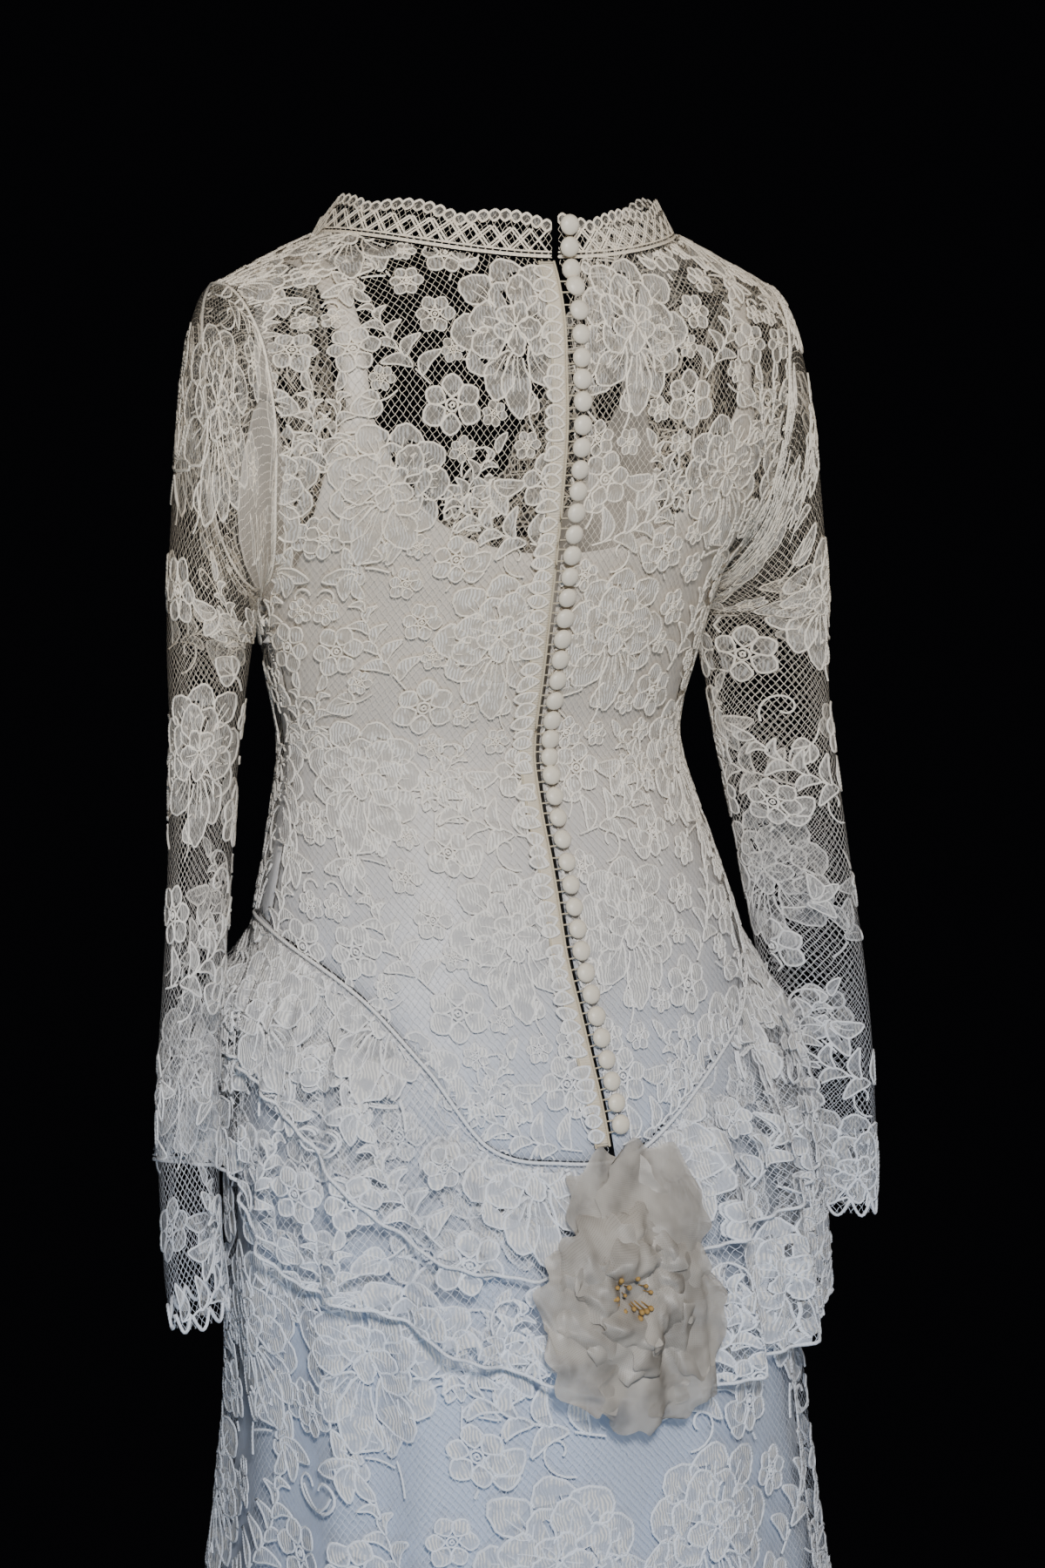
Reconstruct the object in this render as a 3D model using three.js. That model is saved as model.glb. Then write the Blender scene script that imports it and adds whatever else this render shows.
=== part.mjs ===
// A vintage-style lace wedding dress, filled out as worn, with nobody inside it.
// Units are millimetres. +Z is up, the back of the dress faces +Y and the wearer's left is +X.
// The origin lies midway between the shoulders, at the height of the collar seam.

import * as THREE from "three";

// Cloth walls and the small gaps between the layers
const LINING_WALL = 1.1;
const LINING_IN = -0.8;
const LACE_WALL = 1.1;
const LACE_OUT = 3.9;
const SEAM_GAP = 0.4;
const STACK_GAP = 0.3;
const LINING_LIFT = 1.2;
const LINING_SEAM = 0.6;
const BUTTON_GAP = 0.6;

// Heights
const UNDERARM = -203;
const CAP_START = -60;
const CAP_REACH = 100;
const LACE_HEM = -1430;
const LINING_HEM = -1418;

// Shoulders and neckline
const NECK_HALF = 118;
const SHOULDER_HALF = 185;
const RIDGE_TOP = 40;
const RIDGE_DROP = 32;
const RIDGE_POWER = 1.471;
const NECK_BACK = -6;
const NECK_SIDE = 8;
const FRONT_SCOOP = -205;

// Centre-back opening
const LEFT_EDGE = 9;
const RIGHT_EDGE = -4.5;
const LINING_INSET = 1.5;
const PLACKET_WIDTH = 9.5;
const STAND_WIDTH = 9;
const PLACKET_WALL = 1.4;

// Covered buttons
const BUTTON_COUNT = 43;
const BUTTON_RADIUS = 6.1;
const BUTTON_HEIGHT = 6.2;
const BUTTON_TOP = 17;
const BUTTON_END = -531;
const BUTTON_SIDES = 8;
const COLLAR_BUTTON_MARGIN = 4;
const COLLAR_BUTTON_LIFT = 1.6;

// Lace edging round the neck
const COLLAR_HEIGHT = 29;
const SCALLOP_DEPTH = 6;
const SCALLOP_PITCH = 62;
const COLLAR_GAP = 0.6;

// One more column of the lining near its side seam
const LINING_SIDE_SHARE = 0.98;

// Shoulder straps of the lining, as shares of the shoulder's half width
const STRAP_INNER = 0.722;
const STRAP_OUTER = 0.8;
const STRAP_START = -92;

// Steps of the meshes
const PANEL_ROWS_LOW = 8;
const ARMHOLE_ROWS = 4;
const SHOULDER_ROWS = 6;
const LINING_ROWS = 16;
const SKIRT_ROWS = 6;
const NECK_COLUMNS = 5;
const SHOULDER_COLUMNS = 5;
const RING_COLUMNS = 72;
const LINING_COLUMNS = 48;

// Bodice sections: half width at the panel's edge, half width of the whole oval,
// depths behind and before the middle, and the middle's place
const BODICE = [
  { level: -600, edge: 184, oval: 184, back: 132, front: 118, middle: 20 },
  { level: -520, edge: 179, oval: 179, back: 122, front: 112, middle: 13 },
  { level: -450, edge: 168, oval: 168, back: 112, front: 112, middle: 3 },
  { level: -380, edge: 149, oval: 149, back: 101, front: 106, middle: -9 },
  { level: -340, edge: 138, oval: 138, back: 93, front: 100, middle: -18 },
  { level: -305, edge: 133, oval: 133, back: 88, front: 98, middle: -22 },
  { level: -250, edge: 144, oval: 144, back: 95, front: 110, middle: -16 },
  { level: -203, edge: 157, oval: 157, back: 100, front: 112, middle: -10 },
  { level: -190, edge: 160, oval: 166, back: 101, front: 108, middle: -8 },
  { level: -170, edge: 165, oval: 182, back: 103, front: 100, middle: -6 },
  { level: -150, edge: 169, oval: 195, back: 105, front: 92, middle: -4 },
  { level: -100, edge: 173, oval: 208, back: 108, front: 82, middle: 0 },
  { level: -60, edge: 176, oval: 206, back: 106, front: 78, middle: 0 },
  { level: -20, edge: 180, oval: 204, back: 106, front: 78, middle: 0 },
  { level: 40, edge: 185, oval: 204, back: 106, front: 78, middle: 0 },
];

// Skirt sections, from the hips to the floor
const SKIRT = [
  { level: -1430, half: 305, back: 345, front: 300, middle: 10 },
  { level: -1100, half: 238, back: 238, front: 222, middle: 22 },
  { level: -850, half: 194, back: 176, front: 172, middle: 30 },
  { level: -730, half: 184, back: 154, front: 148, middle: 29 },
  { level: -600, half: 184, back: 132, front: 118, middle: 20 },
  { level: -520, half: 179, back: 122, front: 112, middle: 13 },
  { level: -450, half: 168, back: 112, front: 112, middle: 3 },
  { level: -380, half: 149, back: 101, front: 106, middle: -9 },
];

// The low seam between bodice and skirt. An angle is counted from the centre back
// towards the wearer's left.
const WAIST_SEAM = [
  { angle: -180, level: -432 },
  { angle: -130, level: -426 },
  { angle: -95, level: -424 },
  { angle: -70, level: -444 },
  { angle: -50, level: -482 },
  { angle: -30, level: -512 },
  { angle: -12, level: -544 },
  { angle: -5, level: -552 },
  { angle: 8, level: -550 },
  { angle: 23, level: -537 },
  { angle: 35, level: -490 },
  { angle: 50, level: -450 },
  { angle: 70, level: -426 },
  { angle: 95, level: -414 },
  { angle: 130, level: -420 },
  { angle: 180, level: -432 },
];

// Hems of the two peplum tiers
const PEPLUM_HEMS = [
  { angle: -180, upper: -545, lower: -628 },
  { angle: -130, upper: -545, lower: -640 },
  { angle: -90, upper: -560, lower: -664 },
  { angle: -60, upper: -590, lower: -680 },
  { angle: -30, upper: -608, lower: -692 },
  { angle: 0, upper: -612, lower: -690 },
  { angle: 25, upper: -606, lower: -660 },
  { angle: 45, upper: -572, lower: -628 },
  { angle: 65, upper: -516, lower: -612 },
  { angle: 90, upper: -492, lower: -566 },
  { angle: 130, upper: -520, lower: -590 },
  { angle: 180, upper: -545, lower: -628 },
];

// Flutes of the peplum: where, how wide in degrees, and how far they stand out at the hem
const FLUTES = [
  { angle: -165, width: 12, reach: 20 },
  { angle: -132, width: 11, reach: 24 },
  { angle: -112, width: 9, reach: 18 },
  { angle: -62, width: 9, reach: 16 },
  { angle: -44, width: 8, reach: 16 },
  { angle: -24, width: 6, reach: 13 },
  { angle: 14, width: 6, reach: 14 },
  { angle: 32, width: 7, reach: 24 },
  { angle: 52, width: 7, reach: 20 },
  { angle: 70, width: 6, reach: 16 },
  { angle: 106, width: 9, reach: 30 },
  { angle: 134, width: 11, reach: 20 },
  { angle: 162, width: 10, reach: 24 },
];

// Soft upright folds of the skirt
const FOLDS = [
  { angle: -170, width: 9, reach: 16 },
  { angle: -141, width: 8, reach: 20 },
  { angle: -116, width: 8, reach: 14 },
  { angle: -90, width: 6, reach: 12 },
  { angle: -68, width: 6, reach: 20 },
  { angle: -47, width: 7, reach: 16 },
  { angle: -20, width: 8, reach: 12 },
  { angle: 6, width: 7, reach: 15 },
  { angle: 24, width: 6, reach: 20 },
  { angle: 41, width: 5, reach: 24 },
  { angle: 60, width: 6, reach: 22 },
  { angle: 84, width: 7, reach: 12 },
  { angle: 110, width: 8, reach: 20 },
  { angle: 138, width: 9, reach: 15 },
  { angle: 164, width: 8, reach: 18 },
];

// Where the line of buttons leaves the middle of the back
const CENTRE_LINE = [
  { level: -600, shift: -16 },
  { level: -530, shift: -12 },
  { level: -470, shift: -5 },
  { level: -420, shift: 0 },
  { level: 60, shift: 0 },
];

// Top edges of the lining, by the share of the half width
const LINING_EDGE = [
  { share: 0, back: -181, front: -226 },
  { share: 0.25, back: -176, front: -220 },
  { share: 0.45, back: -163, front: -204 },
  { share: 0.58, back: -143, front: -178 },
  { share: 0.68, back: -113, front: -132 },
  { share: 0.722, back: -92, front: -92 },
  { share: 0.8, back: -92, front: -92 },
  { share: 0.86, back: -122, front: -122 },
  { share: 0.93, back: -172, front: -172 },
  { share: 1, back: -210, front: -210 },
];

// Both sleeves below the shoulder cap: the middle line and the flat oval
const SLEEVES = {
  left: [
    { level: -238, x: 197, y: 2, long: 47, short: 23 },
    { level: -300, x: 203, y: 6, long: 43, short: 18 },
    { level: -400, x: 217, y: 25, long: 40, short: 16 },
    { level: -500, x: 233, y: 46, long: 38, short: 16 },
    { level: -600, x: 240, y: 66, long: 33, short: 15 },
    { level: -632, x: 239, y: 73, long: 31, short: 16 },
  ],
  right: [
    { level: -238, x: 197, y: 2, long: 47, short: 23 },
    { level: -300, x: 203, y: 5, long: 43, short: 18 },
    { level: -400, x: 216, y: 18, long: 40, short: 16 },
    { level: -500, x: 230, y: 27, long: 38, short: 16 },
    { level: -600, x: 234, y: 43, long: 33, short: 15 },
    { level: -642, x: 232, y: 50, long: 31, short: 16 },
  ],
};
const SLEEVE_ANGLE = 52;
const SLEEVE_ROWS = 7;
const CAP_ROWS = 4;
const CUFF_SCALLOP = 5;
const CAP_PUFF = 0.35;
const CAP_START_PULL = { top: 66, bottom: 18 };
const CAP_END_PULL = { top: 150, bottom: 22 };

// The organza flower at the point of the seam
const FLOWER = { x: 0, z: -640, halfWide: 68, halfTall: 76, depth: 34, petals: 7 };
const FLOWER_MARGIN = 9;
const FLOWER_LIFT = 0.5;
const FLOWER_RINGS = 5;
const FLOWER_SPOKES = 24;

// Colours
const IVORY_LACE = { color: 0xe9e2d4, roughness: 0.72, metalness: 0 };
const SATIN = { color: 0xefe9df, roughness: 0.42, metalness: 0 };
const ECRU_TAPE = { color: 0xd3c3a6, roughness: 0.8, metalness: 0 };
const BUTTON_SATIN = { color: 0xefe6d6, roughness: 0.4, metalness: 0 };
const ORGANZA = { color: 0xb5ac9f, roughness: 0.6, metalness: 0 };

const RAD = Math.PI / 180;

// A smooth curve through the rows of a table, one column against another
function column(rows, by, name) {
  const sorted = [...rows].sort((a, b) => a[by] - b[by]);
  const slope = (i) => {
    const before = sorted[Math.max(i - 1, 0)];
    const after = sorted[Math.min(i + 1, sorted.length - 1)];
    return (after[name] - before[name]) / (after[by] - before[by]);
  };
  return (at) => {
    const last = sorted.length - 1;
    if (at <= sorted[0][by]) return sorted[0][name];
    if (at >= sorted[last][by]) return sorted[last][name];
    let i = 0;
    while (sorted[i + 1][by] < at) i += 1;
    const span = sorted[i + 1][by] - sorted[i][by];
    const t = (at - sorted[i][by]) / span;
    const rise = sorted[i + 1][name] - sorted[i][name];
    const a = slope(i) * span - rise;
    const b = rise - slope(i + 1) * span;
    return sorted[i][name] + rise * t + t * (1 - t) * (a * (1 - t) + b * t);
  };
}

const bodice = {
  edge: column(BODICE, "level", "edge"),
  oval: column(BODICE, "level", "oval"),
  back: column(BODICE, "level", "back"),
  front: column(BODICE, "level", "front"),
  middle: column(BODICE, "level", "middle"),
};
const skirt = {
  half: column(SKIRT, "level", "half"),
  back: column(SKIRT, "level", "back"),
  front: column(SKIRT, "level", "front"),
  middle: column(SKIRT, "level", "middle"),
};
const seamLevel = column(WAIST_SEAM, "angle", "level");
const upperHem = column(PEPLUM_HEMS, "angle", "upper");
const lowerHem = column(PEPLUM_HEMS, "angle", "lower");
const centreShift = column(CENTRE_LINE, "level", "shift");
const liningEdge = {
  back: column(LINING_EDGE, "share", "back"),
  front: column(LINING_EDGE, "share", "front"),
};

// Height of the shoulder ridge above a point x from the middle
function ridge(x) {
  return RIDGE_TOP - RIDGE_DROP * (Math.abs(x) / NECK_HALF) ** RIDGE_POWER;
}

// A point of the bodice's form. face is 1 behind and -1 before; above CAP_START a level
// is an arc that bends over to the shoulder ridge.
function bodicePoint(face, x, level) {
  const depth = face > 0 ? bodice.back(level) : bodice.front(level);
  const share = Math.min(Math.abs(x) / bodice.oval(level), 1);
  const round = depth * Math.sqrt(1 - share * share);
  if (level <= CAP_START) {
    return new THREE.Vector3(x, bodice.middle(level) + face * round, level);
  }
  const turn = Math.min((level - CAP_START) / CAP_REACH, 1) * Math.PI / 2;
  const height = CAP_START + (ridge(x) - CAP_START) * Math.sin(turn);
  return new THREE.Vector3(x, bodice.middle(level) + face * round * Math.cos(turn), height);
}

// A panel's point: q runs from the panel's inner edge at x = start to its outer edge
function panelX(start, q, level) {
  const edge = bodice.edge(level);
  const first = Math.asin(THREE.MathUtils.clamp(start / edge, -1, 1));
  return edge * Math.sin(first + (Math.PI / 2 - first) * q);
}

function panelPoint(panel, q, level, out) {
  const place = (share, height) => {
    const x = panelX(panel.start(height), share, height);
    const point = bodicePoint(panel.face, x, height);
    point.x *= panel.side;
    return point;
  };
  const step = 0.02;
  const across = q > 0.5 ? place(q, level).sub(place(q - step, level)) : place(q + step, level).sub(place(q, level));
  const along = place(q, level + 1).sub(place(q, level - 1));
  const normal = across.cross(along).normalize();
  if (normal.dot(new THREE.Vector3(0, panel.face, 0.01)) < 0) normal.negate();
  const point = place(q, level).addScaledVector(normal, out);
  point.y += panel.face * SEAM_GAP / 2;
  return point;
}

// A closed wall between two grids of points with the same rows and columns
function wall(outer, inner, ring) {
  const rows = outer.length;
  const columns = outer[0].length;
  const vertices = [];
  const add = (grid) => grid.forEach((row) => row.forEach((p) => vertices.push(p.x, p.y, p.z)));
  add(outer);
  add(inner);
  const at = (layer, i, j) => layer * rows * columns + i * columns + (j % columns);
  const faces = [];
  const quad = (a, b, c, d) => faces.push(a, b, c, a, c, d);
  const spans = ring ? columns : columns - 1;
  for (let i = 0; i < rows - 1; i += 1) {
    for (let j = 0; j < spans; j += 1) {
      quad(at(0, i, j), at(0, i, j + 1), at(0, i + 1, j + 1), at(0, i + 1, j));
      quad(at(1, i, j), at(1, i + 1, j), at(1, i + 1, j + 1), at(1, i, j + 1));
    }
  }
  for (let j = 0; j < spans; j += 1) {
    quad(at(0, 0, j), at(1, 0, j), at(1, 0, j + 1), at(0, 0, j + 1));
    quad(at(0, rows - 1, j), at(0, rows - 1, j + 1), at(1, rows - 1, j + 1), at(1, rows - 1, j));
  }
  if (!ring) {
    for (let i = 0; i < rows - 1; i += 1) {
      quad(at(0, i, 0), at(0, i + 1, 0), at(1, i + 1, 0), at(1, i, 0));
      quad(at(0, i, columns - 1), at(1, i, columns - 1), at(1, i + 1, columns - 1), at(0, i + 1, columns - 1));
    }
  }
  return solid(vertices, faces);
}

// A geometry from points and faces, turned so that its faces point outwards
function solid(vertices, faces) {
  let volume = 0;
  const p = (k) => new THREE.Vector3(vertices[3 * k], vertices[3 * k + 1], vertices[3 * k + 2]);
  for (let k = 0; k < faces.length; k += 3) {
    volume += p(faces[k]).dot(p(faces[k + 1]).cross(p(faces[k + 2])));
  }
  if (volume < 0) {
    for (let k = 0; k < faces.length; k += 3) {
      [faces[k + 1], faces[k + 2]] = [faces[k + 2], faces[k + 1]];
    }
  }
  const geometry = new THREE.BufferGeometry();
  geometry.setAttribute("position", new THREE.Float32BufferAttribute(vertices, 3));
  geometry.setIndex(faces);
  geometry.computeVertexNormals();
  return geometry;
}

// Two grids, outside and inside, from one function of row, column and distance out
function wallFrom(rows, columns, place, low, high, ring = false) {
  const grid = (out) => rows.map((row) => columns.map((share) => place(row, share, out)));
  return wall(grid(high), grid(low), ring);
}

const range = (count, start = 0, end = 1) => (
  Array.from({ length: count + 1 }, (_, i) => start + (end - start) * i / count)
);

// Columns of a panel: even in angle round the neck, then even along the shoulder.
// The neck's last column lies where the collar meets the shoulder seam.
const NECK_Q = (start) => {
  const first = Math.asin(start / SHOULDER_HALF);
  return (Math.asin(NECK_HALF / SHOULDER_HALF) - first) / (Math.PI / 2 - first);
};
function neckColumns(panel) {
  const shoulder = CAP_START + CAP_REACH;
  const start = panel.start(shoulder);
  const neck = NECK_Q(start);
  const round = range(NECK_COLUMNS).map((t) => neck * Math.sin(t * Math.PI / 2));
  if (panel.band) {
    // The column along the placket's or the button stand's outer edge
    const first = Math.asin(start / SHOULDER_HALF);
    const band = Math.asin((start + panel.band) / SHOULDER_HALF);
    round.splice(1, 0, (band - first) / (Math.PI / 2 - first));
  }
  return round;
}

function panelColumns(panel) {
  const round = neckColumns(panel);
  return [...round, ...range(SHOULDER_COLUMNS, round[round.length - 1], 1).slice(1)];
}

// Top level of a lace panel over one column
function laceTop(panel, q) {
  const neck = NECK_Q(panel.start(CAP_START + CAP_REACH));
  const shoulder = CAP_START + CAP_REACH;
  if (q >= neck - 1e-9) return shoulder;
  if (panel.face > 0) {
    const x = panelX(panel.start(shoulder), q, shoulder);
    const height = NECK_BACK + (NECK_SIDE - NECK_BACK) * (x / NECK_HALF) ** 2;
    const share = Math.min((height - CAP_START) / (ridge(x) - CAP_START), 1);
    return CAP_START + CAP_REACH * Math.asin(share) * 2 / Math.PI;
  }
  const part = q / neck;
  return FRONT_SCOOP + (shoulder - FRONT_SCOOP) * (1 - Math.sqrt(1 - part * part));
}

// The angle round the body, from the centre back, at which a panel's column meets the seam
function columnAngle(panel, q, level) {
  const x = panelX(panel.start(level), q, level);
  const away = Math.asin(THREE.MathUtils.clamp(x / bodice.edge(level), -1, 1)) / RAD;
  return panel.side * (panel.face > 0 ? away : 180 - away);
}

function seamUnder(panel, q) {
  let level = -480;
  for (let i = 0; i < 12; i += 1) level = seamLevel(columnAngle(panel, q, level)) + SEAM_GAP;
  return level;
}

// Levels up the armhole's edge, from the underarm to the shoulder ridge
const ARM_LEVELS = [
  ...range(ARMHOLE_ROWS, UNDERARM, CAP_START),
  ...range(SHOULDER_ROWS, CAP_START, CAP_START + CAP_REACH).slice(1),
];

// Rows of a panel: 0 to 1 runs from the seam to the underarm, 1 to 2 on to the shoulder
const PANEL_ROWS = [
  ...range(PANEL_ROWS_LOW).slice(0, -1),
  ...ARM_LEVELS.map((level) => 1 + (level - UNDERARM) / (CAP_START + CAP_REACH - UNDERARM)),
];

function panelLevel(panel, q, row, top) {
  const sideBottom = seamUnder(panel, 1);
  const shoulder = CAP_START + CAP_REACH;
  const knee = (UNDERARM - sideBottom) / (shoulder - sideBottom);
  const bottom = seamUnder(panel, q);
  const share = row <= 1 ? knee * row : knee + (1 - knee) * (row - 1);
  return bottom + (top - bottom) * share;
}

const PANELS = {
  backLeft: { face: 1, side: 1, start: (level) => centreShift(level) + LEFT_EDGE, band: PLACKET_WIDTH },
  backRight: { face: 1, side: -1, start: (level) => -centreShift(level) + RIGHT_EDGE, band: STAND_WIDTH },
  front: { face: -1, side: 1, start: () => 0 },
};

function lacePoint(panel, row, q, out) {
  return panelPoint(panel, q, panelLevel(panel, q, row, laceTop(panel, q)), out);
}

function lacePanel(panel) {
  const place = (row, q, out) => lacePoint(panel, row, q, out);
  return wallFrom(PANEL_ROWS, panelColumns(panel), place, LACE_OUT, LACE_OUT + LACE_WALL);
}

// The front is one piece: both halves of its columns from side to side
function laceFront() {
  const right = { ...PANELS.front, side: -1 };
  const half = panelColumns(PANELS.front);
  const columns = [...half.slice(1).reverse().map((q) => -q), ...half];
  const place = (row, q, out) => lacePoint(q < 0 ? right : PANELS.front, row, Math.abs(q), out);
  return wallFrom(PANEL_ROWS, columns, place, LACE_OUT, LACE_OUT + LACE_WALL);
}

// The lining stops at its own scooped edge. Its columns follow the edge's table.
function liningColumns(start) {
  const shares = LINING_EDGE.map((row) => row.share);
  shares.splice(-1, 0, LINING_SIDE_SHARE);
  const edge = bodice.edge(STRAP_START);
  const first = Math.asin(start / edge);
  return shares.map((share) => {
    const q = (Math.asin(share) - first) / (Math.PI / 2 - first);
    return Math.max(q, 0);
  });
}

function liningPlace(panel, row, q, out) {
  const level0 = STRAP_START;
  const share = panelX(panel.start(level0), q, level0) / bodice.edge(level0);
  const edge = panel.face > 0 ? liningEdge.back : liningEdge.front;
  const bottom = seamUnder(panel, q) + LINING_LIFT;
  const level = bottom + (edge(share) - bottom) * row;
  const point = panelPoint(panel, q, level, out);
  point.y += panel.face * LINING_SEAM;
  return point;
}

function liningBack(panel) {
  const wider = { ...panel, start: (level) => panel.start(level) + LINING_INSET };
  const place = (row, q, out) => liningPlace(wider, row, q, out);
  const columns = liningColumns(wider.start(STRAP_START));
  return wallFrom(range(LINING_ROWS), columns, place, LINING_IN, LINING_IN + LINING_WALL);
}

function liningFront() {
  const right = { ...PANELS.front, side: -1 };
  const half = liningColumns(0);
  const columns = [...half.slice(1).reverse().map((q) => -q), ...half];
  const place = (row, q, out) => liningPlace(q < 0 ? right : PANELS.front, row, Math.abs(q), out);
  return wallFrom(range(LINING_ROWS), columns, place, LINING_IN, LINING_IN + LINING_WALL);
}

// A strap runs from the back lining over the shoulder to the front lining
function strap(side) {
  const up = [STRAP_START + SEAM_GAP, ...ARM_LEVELS.slice(ARMHOLE_ROWS)];
  const route = [
    ...up.map((level) => ({ face: 1, level })),
    ...up.slice(0, -1).reverse().map((level) => ({ face: -1, level })),
  ];
  const place = (step, share, out) => {
    const panel = { face: step.face, side, start: () => 0 };
    return panelPoint(panel, Math.asin(share) * 2 / Math.PI, step.level, out);
  };
  return wallFrom(route, [STRAP_INNER, STRAP_OUTER], place, LINING_IN, LINING_IN + LINING_WALL);
}

// Sum of soft ridges round the body, at one angle
function ridges(rows, angle) {
  return rows.reduce((sum, row) => {
    const away = ((angle - row.angle + 540) % 360) - 180;
    return sum + row.reach * Math.exp(-((away / row.width) ** 2));
  }, 0);
}

// A point of the skirt's form, moved out along its oval
function skirtPoint(angle, level, out) {
  const sin = Math.sin(angle * RAD);
  const cos = Math.cos(angle * RAD);
  const depth = cos > 0 ? skirt.back(level) : skirt.front(level);
  const half = skirt.half(level);
  const normal = new THREE.Vector2(sin / half, cos / depth).normalize();
  return new THREE.Vector3(
    half * sin + normal.x * out,
    skirt.middle(level) + depth * cos + normal.y * out,
    level,
  );
}

// How far each layer is eased out, and the drops over which eases and folds open
const SKIRT_EASE = 4;
const PEPLUM_EASE = 4;
const TIER_EASE = 3.5;
const EASE_DROP = 60;
const TIER_DROP = 50;
const FOLD_HIP = { share: 0.25, drop: 120 };
const FOLD_HEM = { share: 0.75, drop: 900 };
const FLUTE_OPEN = { drop: 130, most: 1.15, power: 1.2 };
const LINING_FOLLOW = 0.5;
const smooth = (t) => THREE.MathUtils.smoothstep(t, 0, 1);

// How far the lace skirt stands off the lining, at a drop below the seam
function skirtOut(angle, drop) {
  const open = FOLD_HIP.share * smooth(drop / FOLD_HIP.drop) + FOLD_HEM.share * smooth(drop / FOLD_HEM.drop);
  return SKIRT_EASE * smooth(drop / EASE_DROP) + ridges(FOLDS, angle) * open;
}

// The same for the peplum's lower tier. The flutes open towards its hem.
function peplumOut(angle, drop) {
  const open = Math.min(drop / FLUTE_OPEN.drop, FLUTE_OPEN.most) ** FLUTE_OPEN.power;
  return skirtOut(angle, drop) + PEPLUM_EASE * smooth(drop / EASE_DROP) + ridges(FLUTES, angle) * open;
}

function skirtWall(columns, rows, layerNumber, out) {
  const low = LINING_IN + layerNumber * STACK;
  const high = low + LACE_WALL;
  const place = (row, angle, layer) => {
    const top = seamLevel(angle) - SEAM_GAP;
    const bottom = typeof rows.end === "function" ? rows.end(angle) : rows.end;
    const level = top + (bottom - top) * row;
    return skirtPoint(angle, level, layer + out(angle, top - level));
  };
  const angles = range(columns, -180, 180).slice(0, -1);
  return wallFrom(rows.shares, angles, place, low, high, true);
}

const STACK = LACE_WALL + STACK_GAP;
const hangingShares = (count) => range(count).map((t) => t ** 1.35);

function skirtLining() {
  const rows = { shares: hangingShares(SKIRT_ROWS), end: LINING_HEM };
  const out = (angle, drop) => LINING_FOLLOW * (skirtOut(angle, drop) - SKIRT_EASE * smooth(drop / EASE_DROP));
  return skirtWall(LINING_COLUMNS, rows, 0, out);
}

function skirtLace() {
  const rows = { shares: hangingShares(SKIRT_ROWS), end: LACE_HEM };
  return skirtWall(RING_COLUMNS, rows, 1, skirtOut);
}

function peplumLower() {
  const rows = { shares: range(4), end: lowerHem };
  return skirtWall(RING_COLUMNS, rows, 2, peplumOut);
}

function peplumUpper() {
  const rows = { shares: range(3), end: upperHem };
  const out = (angle, drop) => peplumOut(angle, drop) + TIER_EASE * smooth(drop / TIER_DROP);
  return skirtWall(RING_COLUMNS, rows, 3, out);
}

function sleeveTable(rows) {
  return {
    x: column(rows, "level", "x"),
    y: column(rows, "level", "y"),
    long: column(rows, "level", "long"),
    short: column(rows, "level", "short"),
    first: rows[0].level,
    last: rows[rows.length - 1].level,
  };
}

// Levels round the armhole: up the back edge and down the front edge
function armholeSteps() {
  const up = ARM_LEVELS;
  return [
    ...up.map((level) => ({ face: 1, level })),
    ...up.slice(1, -1).reverse().map((level) => ({ face: -1, level })),
  ];
}

// Direction round the sleeve for each armhole step: 180 underneath, 90 behind, 0 on top
const ARM_ROWS = ARM_LEVELS.length - 1;
const stepAngle = (index) => {
  const up = index <= ARM_ROWS ? index : 2 * ARM_ROWS - index;
  const high = (ARM_LEVELS[up] - UNDERARM) / (ARM_LEVELS[ARM_ROWS] - UNDERARM);
  return (index <= ARM_ROWS ? 1 : -1) * 180 * (1 - high);
};

// A point on the sleeve's oval. grow moves it out by the cloth's thickness.
function ovalPoint(table, level, direction, grow) {
  const turn = (direction - SLEEVE_ANGLE) * RAD;
  const long = (table.long(level) + grow) * Math.cos(turn);
  const short = (table.short(level) + grow) * Math.sin(turn);
  const cos = Math.cos(SLEEVE_ANGLE * RAD);
  const sin = Math.sin(SLEEVE_ANGLE * RAD);
  return new THREE.Vector3(
    table.x(level) + long * cos - short * sin,
    table.y(level) + long * sin + short * cos,
    level,
  );
}

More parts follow.
